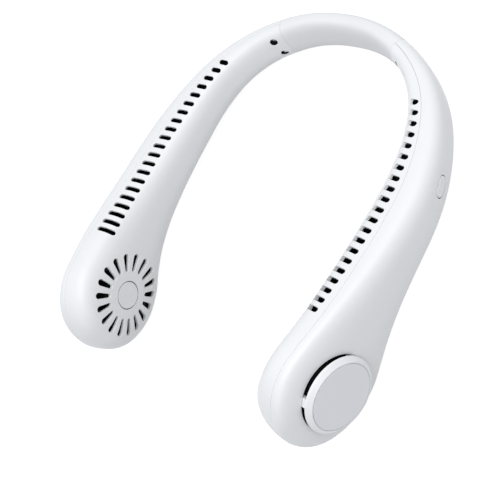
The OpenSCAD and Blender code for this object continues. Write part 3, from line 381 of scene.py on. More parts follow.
def shell_sheets(side):
    """Sheets of one half shell: skin, inner skin, the two seams and the arm's end."""
    end = 1 + (ARM_RUN - HEAD_RADIUS) / RING_STEP
    w = np.r_[np.arange(NOSE_RINGS) / NOSE_RINGS, np.linspace(1, end, ARM_RINGS)[:-1],
              end - BREAK_WIDE[::-1] / RING_STEP]
    w = np.unique(w)[:, None]
    run = ring_run(w)
    edge = (BREAK_WIDE + SEAM_GAP) / np.maximum(half_depth(run, side), EDGE_DEPTH)
    edge = np.minimum(edge, EDGE_ANGLES)
    spread = np.linspace(0, 1, SIDE_COLUMNS)[1:-1]
    last = edge[:, -1:]
    angle = np.hstack([edge, last + (np.pi - 2 * last) * spread, np.pi - edge[:, ::-1]]) * side
    normals = skin_normals(w, angle)
    tip = beside(0, 0, 0) - beside(1, 0, 0)
    normals[0] = tip
    seamward = unit(skin(run, angle - NUDGE * side) - skin(run, angle + NUDGE * side))
    lean, deep = np.zeros(angle.shape), np.zeros(angle.shape)
    lean[:, :3], lean[:, -3:] = BREAK_LEAN, -BREAK_LEAN[::-1]
    deep[:, :3], deep[:, -3:] = BREAK_DEEP, BREAK_DEEP[::-1]
    endward = unit(skin(run + 1, angle) - skin(run - 1, angle))
    end_lean = np.zeros(w.shape)
    end_lean[-3:, 0] = BREAK_LEAN[::-1] * END_SHARE
    deep[-3:] = np.maximum(deep[-3:], BREAK_DEEP[::-1, None] * END_SHARE)
    deep *= np.minimum(1, run / TIP_RUN)
    points = skin(run, angle) - normals * deep[..., None]
    lean *= run > TIP_RUN
    normals = unit(normals + seamward * lean[..., None] + endward * end_lean[..., None])
    inside = skin(ring_run(w, WALL), angle, WALL)
    inside_normals = -skin_normals(w, angle, WALL)
    inside_normals[0] = -tip
    turn = turn_at(run[:, 0])
    neckward = -side * np.stack([np.cos(turn), -np.sin(turn), 0 * turn], axis=-1)[:, None]
    seams = [(np.stack([points[:, j], inside[:, j]], axis=1), neckward) for j in (0, -1)]
    finish = beside(ARM_RUN + 0.5, 0, 0) - beside(ARM_RUN - 0.5, 0, 0)
    rim = (np.stack([points[-1], inside[-1]]), finish)
    return [(points, normals), (inside, inside_normals), *seams, rim]


shells = {side: built(name, *welded(shell_sheets(side))) for side, name in ((-1, "inner"), (1, "outer"))}
print("half shells:", {name: len(shell.data.polygons) for name, shell in shells.items()}, "faces")

# %% [markdown]
# ## Tools that follow the skin
#
# The slots, the grille, the pocket and the button hole are cut through a skin that curves. A straight cutter
# would leave an edge of uneven width, so each tool is a stack of outlines that are dropped onto the skin and
# then lifted or sunk by a set amount. Just under the skin the outline widens along an arc, which rounds the
# edge as a moulding tool does.

# %% Find the skin along a ray
ROUGH, SEARCHES, LEAST = slice(None, None, 10), 3, 1e-6


def coordinates(points):
    """Distance, side and height of points. The nearest of some places on the line starts the search, and
    then the distance grows a few times by what the point still lies ahead of its foot on the line."""
    flat = points[..., :2].reshape(-1, 2)
    run = RUNS[ROUGH][np.argmin(((flat[:, None] - LINE[ROUGH]) ** 2).sum(-1), axis=1)]
    for _ in range(SEARCHES):
        turn = turn_at(run)
        way = flat - np.c_[on_line(run)]
        run = run + way[:, 0] * np.sin(turn) + way[:, 1] * np.cos(turn)
    way = flat - np.c_[on_line(run)]
    side = way[:, 0] * np.cos(turn) - way[:, 1] * np.sin(turn)
    shape = points.shape[:-1]
    return run.reshape(shape), side.reshape(shape), points[..., 2]


def outside_by(points, inset=0.0):
    """How far points lie outside the skin: the superellipse's sum, less one, which is 0 on the skin."""
    run, side, up = coordinates(points)
    up = up - middle_at(run)
    p = power_at(run, up)
    tall = np.maximum(half_height(run, inset), LEAST)
    deep = np.maximum(half_depth(run, side, inset), LEAST)
    return np.abs(side / deep) ** p + np.abs(up / tall) ** p - 1


def height_on_skin(points, axis, low=-6.0, high=24.0, halvings=26):
    """Distance along axis from each point to the skin, found by halving the span that holds it."""
    low, high = np.full(points.shape[:-1], low), np.full(points.shape[:-1], high)
    for _ in range(halvings):
        mid = (low + high) / 2
        outside = outside_by(points + mid[..., None] * axis) > 0
        low, high = np.where(outside, low, mid), np.where(outside, mid, high)
    return (low + high) / 2


def normals_on_skin(points, step=0.4):
    """Unit normals of the skin at points on it: the slope of how far outside they lie, along each axis."""
    slopes = [outside_by(points + d) - outside_by(points - d) for d in np.eye(3) * step]
    return unit(np.stack(slopes, axis=-1))


# %% Outlines
def circle(radius, count=96):
    """Outline points and outward normals of a circle."""
    a = np.linspace(0, 2 * np.pi, count + 1)
    n = np.c_[np.cos(a), np.sin(a)]
    return n * radius, n


def capsule(start, end, small, large, pitch=0.45):
    """Outline of the hull round two circles on the first axis, of radius small at start and large at end:
    two arcs and the two straight lines that touch both circles."""
    lean = np.arcsin((large - small) / (end - start))
    corner = np.pi / 2 + lean
    big = np.linspace(-corner, corner, max(8, int(2 * corner * large / pitch)))
    little = np.linspace(corner, 2 * np.pi - corner, max(8, int((2 * np.pi - 2 * corner) * small / pitch)))
    ends = [(end, large, big), (start, small, little)]
    arcs = [(np.c_[x + r * np.cos(a), r * np.sin(a)], np.c_[np.cos(a), np.sin(a)]) for x, r, a in ends]
    steps = max(2, int((end - start) / pitch))
    mix = np.linspace(0, 1, steps + 1)[1:-1, None]
    points, normals = [], []
    for (p, n), (q, _) in zip(arcs, arcs[::-1]):
        points += [p, p[-1] + (q[0] - p[-1]) * mix]
        normals += [n, n[-1] + 0 * mix]
    return np.vstack([*points, points[0][:1]]), np.vstack([*normals, normals[0][:1]])


def pill(length, width):
    """Outline of a round-ended bar, lying along the first axis."""
    return capsule(-(length - width) / 2, (length - width) / 2, width / 2 - 1e-9, width / 2)


def block(width, start, end):
    """Outline of a bar from start to end along the first axis, either way, square at its corners."""
    corner = np.array([[end, -1], [end, 1], [start, 1], [start, -1], [end, -1]]) * [1, width / 2]
    out = np.array([[1, 0], [0, 1], [-1, 0], [0, -1]]) * [np.sign(end - start), 1]
    return np.repeat(corner, 2, axis=0)[1:-1], np.repeat(out, 2, axis=0)


# %% Stack outlines into a tool
class Spot:
    """A place on the arm with three axes: two across, and one that points out through the skin."""

    def __init__(self, origin, first, second):
        self.origin, self.first, self.second = (np.asarray(v, float) for v in (origin, first, second))
        self.out = np.cross(first, second)

    def flat(self, outline):
        """Points of an outline in the plane of the spot."""
        return self.origin + outline[..., :1] * self.first + outline[..., 1:] * self.second

    def way(self, normals):
        """Directions of the plane, as directions of the arm's frame."""
        return normals[..., :1] * self.first + normals[..., 1:] * self.second


def stacked(spot, outline, levels, facing=1):
    """Sheet through a stack of outlines. A level is (grow, height, turn, base): the outline widened by grow,
    raised by height above the skin or, where base is "flat", above the spot's own plane, with normals turned
    up from the wall by turn degrees. Grow None draws the outline to its middle. Facing -1 gives the normals
    of the hole that the stack cuts."""
    points, normals = outline
    rows, leans = [], []
    middle = points[:-1].mean(0)
    for grow, height, turn, base in levels:
        flat = spot.flat(points + normals * grow if grow is not None else 0 * points + middle)
        lift = height if base == "flat" else height + height_on_skin(flat, spot.out)
        rows.append(flat + np.broadcast_to(lift, flat.shape[:-1])[..., None] * spot.out)
        out = spot.out if base == "flat" else normals_on_skin(rows[-1] - height * spot.out)
        a = np.radians(turn)
        leans.append(unit(np.cos(a) * spot.way(normals) + np.sin(a) * out) * facing)
    return np.array(rows), np.array(leans)


EDGE_TURNS = np.radians([72, 54, 36, 18, 0])
# White wall and groove wall: depths below a cut's rounded edge that stay white; below them the half shells
# get painted shade.
LIFT, WHITE_WALL, GROOVE_WALL = 2.0, 1.25, 0.1


def based(base, *levels):
    """Levels (grow, height, turn) with their base."""
    return [(*level, base) for level in levels]


def cutter(name, spot, outline, bottom, edge=0.3, over=0.12, base="skin", wall=WHITE_WALL):
    """Closed tool from just above the skin down to bottom. Under the skin its outline widens along an arc of
    radius edge, and then along the arc's last tangent. Wall is the depth of a row of faces of its own below
    the arc, which can stay white on a half shell where the faces deeper down get painted shade."""
    first, top = EDGE_TURNS[0], over + LIFT
    flare = edge * (1 - np.cos(first)) + (over + edge * (1 - np.sin(first))) * np.tan(first)
    arc = [(edge * (1 - np.cos(t)), edge * (np.sin(t) - 1), -np.degrees(t)) for t in EDGE_TURNS]
    upper = based("skin", (None, top, 90), (flare, top, 90), (flare, top, 0), (flare, over, 0),
                  (flare, over, arc[0][2]), *arc, (0, -edge - wall, 0))
    levels = upper + based(base, (0, bottom, 0), (0, bottom, -90), (None, bottom, -90))
    return built(name, *welded([stacked(spot, outline, levels, facing=-1)], facing=-1))


print("tools can follow the skin")

# %% [markdown]
# ## Air slots and the round grille
#
# Twenty or so slots let the air out along the top of each arm. They are long beside the head and short
# beside the band, and they lean over towards the neck with the skin. On the neck side of each head, a ring
# of tapered slots lets air in round a small cap.

# %% Cut the inner half
SLOT_COUNT, SLOT_FIRST, SLOT_PITCH, SLOT_GROWTH = 21, 52.7, 5.2, 0.021
SLOT_WIDTH, SLOT_LONG, SLOT_SHORT, SLOT_BEARING = 2.5, 10.2, 5.1, np.radians(8)
SLOT_SIDES, SLOT_LEANS = ([0, 0.5, 1], [0.55, 0.44, 0.47]), ([0, 0.5, 1], [17, 20, 42])
GRILLE_COUNT, GRILLE_INNER, GRILLE_OUTER, GRILLE_SLOT, GRILLE_TAPER = 18, 13.4, 20.0, 3.3, 0.6
CAP_RADIUS, CAP_THICK, CAP_GAP, CAP_SLIP = 7.0, 0.9, 0.42, 0.02
RECESS_SIZE, RECESS_SPREAD, RECESS_RUNS = 4.0, 9.5, [ARM_RUN - 5, ARM_RUN - 6.4]
SLOT_FLOOR, HOLE_FLOOR, CLEAR = -3.2, -3.0, 0.28
UP = np.array([0, 0, 1.0])


def axes_at(run):
    """Directions away from the neck and along the line, at a distance along it."""
    turn = float(turn_at(run))
    return np.array([np.cos(turn), -np.sin(turn), 0]), np.array([np.sin(turn), np.cos(turn), 0])


def slot_spots():
    """Spot and length of every air slot: its place on the section, its lean about the line, and a turn that
    points all slots the same way in plan, as one slide of the mould forms them."""
    for i in range(SLOT_COUNT):
        t = i / (SLOT_COUNT - 1)
        run = SLOT_FIRST + SLOT_PITCH * i + SLOT_GROWTH * i * i
        away, along = axes_at(run)
        deep, p = half_depth(run, -1), power_at(run, 1)
        place = -np.interp(t, *SLOT_SIDES) * deep
        lean = np.radians(np.interp(t, *SLOT_LEANS))
        first = away * np.cos(lean) + UP * np.sin(lean)
        rise = half_height(run) * (1 - np.abs(place / deep) ** p) ** (1 / p)
        origin = beside(run, place, middle_at(run) + rise)
        spot = spun(Spot(origin, first, along), float(turn_at(run)) - SLOT_BEARING)
        yield spot, SLOT_LONG + (SLOT_SHORT - SLOT_LONG) * t


def head_spot(side):
    """Spot at a head's centre that looks out through the inner half, -1, or the outer half, 1."""
    along = axes_at(HEAD_RADIUS)[1]
    return Spot(beside(HEAD_RADIUS, 0, 0), *((UP, along) if side < 0 else (along, UP)))


def spun(spot, angle):
    """The spot with its two plane axes turned."""
    c, s = np.cos(angle), np.sin(angle)
    return Spot(spot.origin, c * spot.first + s * spot.second, c * spot.second - s * spot.first)


def recess_spots():
    """Spots of the two screw recesses at the end of an arm, looking towards the neck."""
    for i, run in enumerate(RECESS_RUNS):
        yield Spot(beside(run, 0, middle_at(run) + (i - 0.5) * RECESS_SPREAD), UP, axes_at(run)[1])


tools = [cutter("slot", spot, pill(length, SLOT_WIDTH), SLOT_FLOOR) for spot, length in slot_spots()]
tapered = capsule(GRILLE_INNER, GRILLE_OUTER, GRILLE_SLOT * GRILLE_TAPER / 2, GRILLE_SLOT / 2)
inward = head_spot(-1)
for i in range(GRILLE_COUNT):
    ray = spun(inward, 2 * np.pi * (i + 0.5) / GRILLE_COUNT)
    tools.append(cutter("grille", ray, tapered, HOLE_FLOOR, edge=0.35, wall=0.8))
tools.append(cutter("cap", inward, circle(CAP_RADIUS + CAP_GAP), INNER_DEPTH - CAP_THICK, edge=0.16,
                    base="flat", wall=GROOVE_WALL))
round_hole = circle(RECESS_SIZE / 2, count=32)
tools += [cutter("recess", spot, round_hole, HOLE_FLOOR, edge=0.22, wall=0.5) for spot in recess_spots()]
inner_shell = carved(shells[-1], tools)
print("inner half:", len(inner_shell.data.polygons), "faces after", len(tools), "cuts")

# %% [markdown]
# ## The pocket and the outer half
#
# The outside of each head has a round pocket, in which the intake cover stands on three legs. Air goes in
# through the ring-shaped gap between them. The pocket's bowl is added to the shell first, and then the pocket
# and the inlet in its floor are cut out of both. Only the left arm has a button and a charging port.

# %% Cut the outer half
POCKET_RADIUS, POCKET_DEPTH, POCKET_WALL = 18.4, 3.1, 1.4
INLET_RADIUS, INLET_DOWN, INLET_UP = 14.5, 3, 1
outward = head_spot(1)
HEAD_FACE = float(half_depth(HEAD_RADIUS, 1))
POCKET_FLOOR = HEAD_FACE - POCKET_DEPTH


def drum(name, spot, outline, low, high, facing=1, base="flat"):
    """Upright tool between two heights, the upper one above the spot's plane or above the skin."""
    levels = based("flat", (None, low, -90), (0, low, -90), (0, low, 0))
    levels += based(base, (0, high, 0), (0, high, 90), (None, high, 90))
    return built(name, *welded([stacked(spot, outline, levels, facing)], facing))


bowl = drum("bowl", outward, circle(POCKET_RADIUS + POCKET_WALL), POCKET_FLOOR - POCKET_WALL, -WALL / 2,
            base="skin")
outer_shell = carved(shells[1], [bowl], "UNION")
pocket = cutter("pocket", outward, circle(POCKET_RADIUS, count=160), POCKET_FLOOR, edge=0.4, base="flat",
                wall=GROOVE_WALL)
inlet = drum("inlet", outward, circle(INLET_RADIUS), POCKET_FLOOR - INLET_DOWN, POCKET_FLOOR + INLET_UP, -1)
outer_shell = carved(outer_shell, [pocket, inlet])
plain_half = taken(linked("outer copy", outer_shell.data.copy()))
print("outer half:", len(plain_half[2]), "faces")

# %% Open the button hole and the charging slot
BOARD_RUN, BOARD_LEVEL, BOARD_TILT = 130.97, 11.5167, np.radians(6.212)
BUTTON_ALONG, BUTTON_UP, BUTTON_LONG, BUTTON_WIDE = 128.5 - BOARD_RUN, 2.93188, 10.6, 5.6
USB_ALONG, USB_SIDE, USB_WIDE, USB_THICK, USB_FLOOR = 6.5, 3.2, 8.9, 3.2, -3.5


def board_spot(across, along_by, up_by, below=False):
    """Spot at a place on the main board, which leans with the arm: it looks out through the side or,
    below, out through the bottom."""
    away, along = axes_at(BOARD_RUN)
    tilted = along * np.cos(BOARD_TILT) + UP * np.sin(BOARD_TILT)
    upright = UP * np.cos(BOARD_TILT) - along * np.sin(BOARD_TILT)
    origin = beside(BOARD_RUN, 0, BOARD_LEVEL) + across * away + along_by * tilted + up_by * upright
    return Spot(origin, tilted, away if below else upright)


button_spot = board_spot(0, BUTTON_ALONG, BUTTON_UP)
usb_spot = board_spot(USB_SIDE, USB_ALONG, 0, below=True)
hole = pill(BUTTON_LONG + 2 * CLEAR, BUTTON_WIDE + 2 * CLEAR)
port = pill(USB_WIDE + 2 * CLEAR, USB_THICK + 2 * CLEAR)
openings = [cutter("button hole", button_spot, hole, HOLE_FLOOR, edge=0.2, wall=GROOVE_WALL),
            cutter("charging slot", usb_spot, port, USB_FLOOR, edge=0.25)]
button_half = taken(carved(outer_shell, openings))
print("outer half with its openings:", len(button_half[2]), "faces")

# %% [markdown]
# ## Plastic and the other finishes
#
# A finish is a small graph of nodes. Wiring one by hand in the editor is fine, but here a value is wrapped in
# a class that knows + and *, so a worn roughness is written as a sum. The real fan's white plastic is satin:
# its colour drifts by about a hundredth, its reflection spreads, and a fine grain shows close up.

# %% Shader sums
class Value:
    """A socket whose sums add Math nodes."""

    def __init__(self, tree, socket):
        self.tree, self.socket = tree, socket

    def _math(self, operation, *values):
        return self.tree.node("ShaderNodeMath", {"operation": operation}, dict(enumerate(values)))

    def __add__(self, other):
        return self._math("ADD", self, other)

    def __mul__(self, other):
        return self._math("MULTIPLY", self, other)

    __radd__, __rmul__ = __add__, __mul__


class Finish:
    """A material and its node tree. Fixed values are set on the shader's own sockets."""

    def __init__(self, name, colour, **fixed):
        self.material = bpy.data.materials.new(name)
        self.material.use_nodes = True
        self.nodes, self.links = self.material.node_tree.nodes, self.material.node_tree.links
        self.shader = self.nodes["Principled BSDF"]
        self.shader.inputs["Base Color"].default_value = (*colour, 1)
        self.material.diffuse_color = (*colour, 1)
        for socket, value in fixed.items():
            self.shader.inputs[socket.replace("_", " ")].default_value = value

    def node(self, kind, settings=None, inputs=None, output=0):
        """New node: its settings are set first, then each input gets a value or a link."""
        node = self.nodes.new(kind)
        for key, value in (settings or {}).items():
            setattr(node, key, value)
        for key, value in (inputs or {}).items():
            if isinstance(value, Value):
                self.links.new(value.socket, node.inputs[key])
            else:
                node.inputs[key].default_value = value
        return Value(self, node.outputs[output])

    def place(self):
        """Object coordinates, in metres."""
        return self.node("ShaderNodeTexCoord", output="Object")

    def noise(self, scale, detail=2.0, roughness=0.5, place=None):
        """Noise from 0 to 1, with features about 1/scale metres across."""
        return self.node("ShaderNodeTexNoise", None, {
            "Vector": place or self.place(), "Scale": scale, "Detail": detail, "Roughness": roughness}, "Fac")

    def between(self, factor, dark, light):
        """Colour that runs from dark to light with the factor."""
        colours = {0: factor, 6: (*dark, 1), 7: (*light, 1)}
        return self.node("ShaderNodeMix", {"data_type": "RGBA"}, colours, 2)

    def feed(self, socket, value):
        """Link a value to one of the shader's sockets."""
        self.links.new(value.socket, self.shader.inputs[socket])

    def bump(self, height, strength, distance):
        """Bump of that strength and distance, in metres, from a height of 0 to 1."""
        self.feed("Normal", self.node("ShaderNodeBump", None, {
            "Height": height, "Strength": strength, "Distance": distance}, "Normal"))


WEAR_SPAN, STREAK_SPAN = 0.1, 0.16


def moulded(name, colour, rough=0.38, drift=0.012, grain=0.15, specular=0.5):
    """Moulded plastic: its colour drifts slowly, its roughness faster, and the mould leaves a grain."""
    finish = Finish(name, colour, Specular_IOR_Level=specular)
    slow = finish.noise(scale=38.0, detail=3.0)
    dark, light = np.array(colour) * (1 - drift), np.minimum(np.array(colour) * (1 + drift), 1)
    finish.feed("Base Color", finish.between(slow, dark, light))
    finish.feed("Roughness", finish.noise(scale=160.0, detail=3.0) * WEAR_SPAN + (rough - WEAR_SPAN / 2))
    finish.bump(finish.noise(scale=2600.0), grain, distance=0.00004)
    return finish.material


def brushed(name, colour, rough=0.3, along=(1, 1, 30)):
    """Rolled or turned metal: fine streaks that stretch along one axis vary its roughness and its surface."""
    finish = Finish(name, colour, Metallic=1.0)
    stretched = finish.node("ShaderNodeMapping", None, {"Vector": finish.place(), "Scale": along})
    streaks = finish.noise(scale=900.0, detail=4.0, roughness=0.6, place=stretched)
    dark, light = np.array(colour) * 0.94, np.minimum(np.array(colour) * 1.04, 1)
    finish.feed("Base Color", finish.between(streaks, dark, light))
    finish.feed("Roughness", streaks * STREAK_SPAN + (rough - STREAK_SPAN / 2))
    finish.bump(streaks, strength=0.1, distance=0.00002)
    return finish.material


FINISHES = {
    "shell": moulded("satin white plastic", (0.885, 0.89, 0.9), specular=0.45),
    "cover_trim": moulded("white rim plastic", (0.885, 0.89, 0.9), 0.33),
    "cover_face": moulded("matt inlay plastic", (0.865, 0.87, 0.895), 0.5, grain=0.3),
    "cap_trim": moulded("white cap plastic", (0.86, 0.865, 0.88), 0.36),
    "button_plastic": moulded("button plastic", (0.875, 0.88, 0.89), 0.34),
    "soft_band": moulded("soft white rubber", (0.86, 0.865, 0.875), 0.55, drift=0.02, grain=0.35),
    "duct_plastic": moulded("dark duct plastic", (0.016, 0.017, 0.019), 0.7, specular=0.2),
    "impeller_plastic": moulded("dark impeller plastic", (0.02, 0.021, 0.023), 0.55, specular=0.3),
    "black_plastic": moulded("black plastic", (0.03, 0.03, 0.033), 0.5, drift=0.05),
    "steel": brushed("bright steel", (0.62, 0.63, 0.65)),
    "spring_steel": brushed("blued spring steel", (0.42, 0.44, 0.48), 0.35),
    "stator_steel": brushed("laminated steel", (0.4, 0.41, 0.43), 0.42, (1, 1, 80)),
    "sintered_bronze": brushed("sintered bronze", (0.6, 0.44, 0.24), 0.5, (1, 1, 1)),
    "copper_wire": brushed("copper winding", (0.72, 0.36, 0.16), 0.35, (60, 1, 1)),
    "magnet": moulded("bonded magnet", (0.1, 0.1, 0.105), 0.55, drift=0.1),
    "circuit_board": moulded("dark green circuit board", (0.008, 0.045, 0.022), 0.3, drift=0.06),
    "cell_wrap": moulded("blue cell sleeve", (0.08, 0.25, 0.52), 0.25, drift=0.03),
    "wire_jacket": moulded("black wire jacket", (0.03, 0.03, 0.033), 0.45, drift=0.05),
    "plunger_plastic": moulded("plunger plastic", (0.7, 0.64, 0.42), 0.45)}
# Near-black painted shade for the insides of the half shells, the deep walls of their cuts and the gaps in
# their grooves; the plastic there is white.
PAINTED_SHADE = moulded("painted shade black", (0.005, 0.0052, 0.0056), 0.75, specular=0.05)
print(len(FINISHES) + 1, "finishes")

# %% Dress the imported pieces
dressed = 0
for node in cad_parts.values():
    for part in node.material_slots:
        part.material = FINISHES[part.material.name.split(".")[0]]
        dressed += 1
print(dressed, "material slots of packed pieces have their finish")

# %% Put the half shells in place
# Depths and margin of the painted shade: faces just under the skin inside a groove, and all faces near the
# inner skin, get a near-black colour in place of shade.
GROOVE_SHADE_DEPTH, INSIDE_SHADE_DEPTH, GROOVE_SHADE_MARGIN = 0.45, 1.5, 1
PIECES = []


def placed(name, arrays, side, body, slot, *nodes):
    """A finished piece: its arrays where they stand in the model, with the faces of a mirrored one turned
    back. It gets its normals, the finish of its slot and its body, and replaces its CAD nodes."""
    points, corners, counts, leans = arrays
    if side < 0:
        start = np.repeat(np.cumsum(counts) - counts, counts)
        turned = 2 * start + np.repeat(counts, counts) - 1 - np.arange(len(corners))
        corners, leans = corners[turned], leans[turned]
    thing = built(name, stood(points, side), corners, counts, tipped(leans, side))
    mesh = thing.data
    mesh.normals_split_custom_set(unit(tipped(leans, side)).tolist())
    mesh.attributes.remove(mesh.attributes[LEAN])
    mesh.materials.append(FINISHES[slot])
    if body:
        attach(thing, body)
    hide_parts(*nodes)
    PIECES.append(thing)
    return thing


def in_painted_shade(arrays, shaded_grooves):
    """True for each face that gets the near-black painted shade: its middle lies near the inside of the wall
    or deeper, or just under the skin within a groove's radius of its axis."""
    points, corners, counts, _ = arrays
    start = np.cumsum(counts) - counts
    middle = np.add.reduceat(points[corners], start) / counts[:, None]
    dark = outside_by(middle, INSIDE_SHADE_DEPTH) < 0
    for spot, radius in shaded_grooves:
        way = middle - spot.origin
        beside_axis = np.linalg.norm(np.cross(way, spot.out), axis=1) < radius
        dark |= beside_axis & (way @ spot.out > 0) & (outside_by(middle, GROOVE_SHADE_DEPTH) < 0)
    return dark


def shell_half(name, arrays, side, arm, node, shaded_grooves):
    """A half shell on its arm: white outside, with near-black painted shade on its inside and deep in its
    cuts.
    """
    thing = placed(name, arrays, side, arm, "shell", node)
    thing.data.materials.append(PAINTED_SHADE)
    thing.data.polygons.foreach_set("material_index", in_painted_shade(arrays, shaded_grooves).astype(np.int32))


ARMS = {"left": 1, "right": -1}
inner_half = taken(inner_shell)
# Places where the near-black painted shade reaches up to just under the skin: the gap round the cap, the
# recesses, the cover's pocket and the button's gap.
inner_shaded_grooves = [(inward, CAP_RADIUS + GROOVE_SHADE_MARGIN), *((spot, RECESS_SIZE) for spot in recess_spots())]
outer_shaded_grooves = [(outward, POCKET_RADIUS + GROOVE_SHADE_MARGIN), (button_spot, BUTTON_LONG)]
for arm, side in ARMS.items():
    outer_half = button_half if side > 0 else plain_half
    shell_half(f"{arm}_inner_half", inner_half, side, f"{arm}_arm", f"{arm}_inner_shell", inner_shaded_grooves)
    shell_half(f"{arm}_outer_half", outer_half, side, f"{arm}_arm", f"{arm}_outer_shell", outer_shaded_grooves)
print("half shells placed:", [piece.name for piece in PIECES])

# %% [markdown]
# ## The neck band
#
# A soft sleeve joins the two arms behind the neck, over a strip of spring steel and a cable. It bends when
# the fan is put on. All three are made here, each in one piece from one arm to the other. The sleeve keeps
# the arm's own section, and its ends meet the arms with the shells' broken edge.

# %% Sweep the band
BAND_START, BAND_SKIN, BAND_RINGS, BAND_COLUMNS = ARM_RUN + 0.1, 2.0, 72, 128


def band_sheets():
    """Sheets of the sleeve: outside, inside and the two ends."""
    finish = 2 * LINE_LENGTH - BAND_START
    run = np.r_[BAND_START + BREAK_WIDE, np.linspace(BAND_START + 1, finish - 1, BAND_RINGS),
                finish - BREAK_WIDE[::-1]]
    run, angle = run[:, None], np.linspace(0, 2 * np.pi, BAND_COLUMNS + 1)[None]
    normals = skin_normals(run, angle, dw=0.5, place=lambda run, inset: run)
    endward = unit(skin(run + 1, angle) - skin(run - 1, angle))
    deep, lean = np.zeros(run.shape), np.zeros(run.shape)
    deep[:3, 0], deep[-3:, 0] = END_SHARE * BREAK_DEEP, END_SHARE * BREAK_DEEP[::-1]
    lean[:3, 0], lean[-3:, 0] = -END_SHARE * BREAK_LEAN, END_SHARE * BREAK_LEAN[::-1]
    outside = skin(run, angle) - normals * deep[..., None]
    inside = skin(run, angle, BAND_SKIN)
    ends = [(np.stack([outside[j], inside[j]]), sign * endward[j].mean(0)) for j, sign in ((0, -1), (-1, 1))]
    return [(outside, unit(normals + endward * lean[..., None])), (inside, -normals), *ends]


def flexed(name, sheets, slot, node):
    """A piece that runs from the right arm to the left one, on neither arm's body."""
    thing = placed(name, welded(sheets), 1, None, slot, node)
    level = stood(beside(LINE_LENGTH, 0, middle_at(LINE_LENGTH)))
    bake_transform(thing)


def swept(runs, outline, normals):
    """Sheets of a bar along the line: an outline of side and height, carried along, and two flat ends."""
    side, up = outline[..., 0], outline[..., 1]
    rows = beside(runs[:, None], side, up)
    turn = turn_at(one_way(runs))
    away = np.c_[np.where(runs > LINE_LENGTH, -1, 1) * np.cos(turn), -np.sin(turn), 0 * turn]
    leans = normals[..., :1] * away[:, None] + normals[..., 1:] * UP
    middle = rows[:, :-1].mean(1, keepdims=True) + 0 * rows
    return [(rows, leans), *((np.stack([rows[j], middle[j]]), unit(middle[j, 0] - middle[k, 0]))
                             for j, k in ((0, 1), (-1, -2)))]


CORE_START, CORE_TALL, CORE_THICK, CORE_ROWS = ARM_RUN - 11, 7.4, 0.8, 60
CABLE_SIZE, CABLE_UP, CABLE_START, CABLE_END, CABLE_ROWS = 1.8, 6.65, 149.47, 117.97, 140
DROP_START, DROP_END = 172.0, 186.0
core_runs = np.linspace(CORE_START, 2 * LINE_LENGTH - CORE_START, CORE_ROWS)
strip, strip_normals = block(CORE_TALL, CORE_THICK / 2, -CORE_THICK / 2)
core = strip[None] + middle_at(core_runs)[:, None, None] * [0, 1]
cable_runs = np.linspace(CABLE_START, 2 * LINE_LENGTH - CABLE_END, CABLE_ROWS)
ease = np.clip((one_way(cable_runs) - DROP_START) / (DROP_END - DROP_START), 0, 1)
ring, ring_normals = circle(CABLE_SIZE / 2, count=24)
cable = ring[None] + (middle_at(cable_runs) + CABLE_UP * ease ** 2 * (3 - 2 * ease))[:, None, None] * [0, 1]
flexed("band_sleeve", band_sheets(), "soft_band", "neck_band")
flexed("spring_strip", swept(core_runs, core, strip_normals + 0 * core), "spring_steel", "band_core")
flexed("band_lead", swept(cable_runs, cable, ring_normals + 0 * cable), "wire_jacket", "band_cable")
print("band pieces:", [piece.name for piece in PIECES[-3:]])

# %% [markdown]
# ## Covers, caps and the button
#
# The intake cover is a turned shape: a profile swung round an axis. Its bevelled rim stays white, and a matt
# inlay fills its face. Every corner of a real moulding is rounded, so the profile is written as corners with
# a radius each, and the arcs are worked out. Three short legs hold the cover in its pocket.

# %% Turned pieces
def rounded(path, steps=5):
    """Points and outward normals of a profile whose corners (r, z, radius) are rounded: each corner gives
    an arc between the two places where it touches its sides. The profile runs with its outside on the left
    of its way."""
    corner = np.array(path, float)
    spot, radius = corner[:, :2], corner[:, 2]
    way = unit(np.diff(spot, axis=0))
    out = np.c_[-way[:, 1], way[:, 0]]
    points, normals = [spot[:1]], [out[:1]]
    for i in range(1, len(spot) - 1):
        a, b = out[i - 1], out[i]
        turn = np.arctan2(a[0] * b[1] - a[1] * b[0], a @ b)
        reach = radius[i] * np.tan(abs(turn) / 2)
        first = spot[i] - way[i - 1] * reach
        centre = first - a * radius[i] * np.sign(-turn)
        angle = turn * np.linspace(0, 1, steps + 1)[:, None]
        spun_out = a * np.cos(angle) + np.array([-a[1], a[0]]) * np.sin(angle)
        points.append(centre + spun_out * radius[i] * np.sign(-turn))
        normals.append(spun_out)
    return np.vstack([*points, spot[-1:]]), np.vstack([*normals, out[-1:]])


def turned_sheet(spot, profile, count=128):
    """Sheet of a profile swung round the spot's outward axis."""
    points, normals = profile
    a = np.linspace(0, 2 * np.pi, count + 1)[None, :, None]
    ray = np.cos(a) * spot.first + np.sin(a) * spot.second
    rows = spot.origin + points[:, None, :1] * ray + points[:, None, 1:] * spot.out
    return rows, normals[:, None, :1] * ray + normals[:, None, 1:] * spot.out


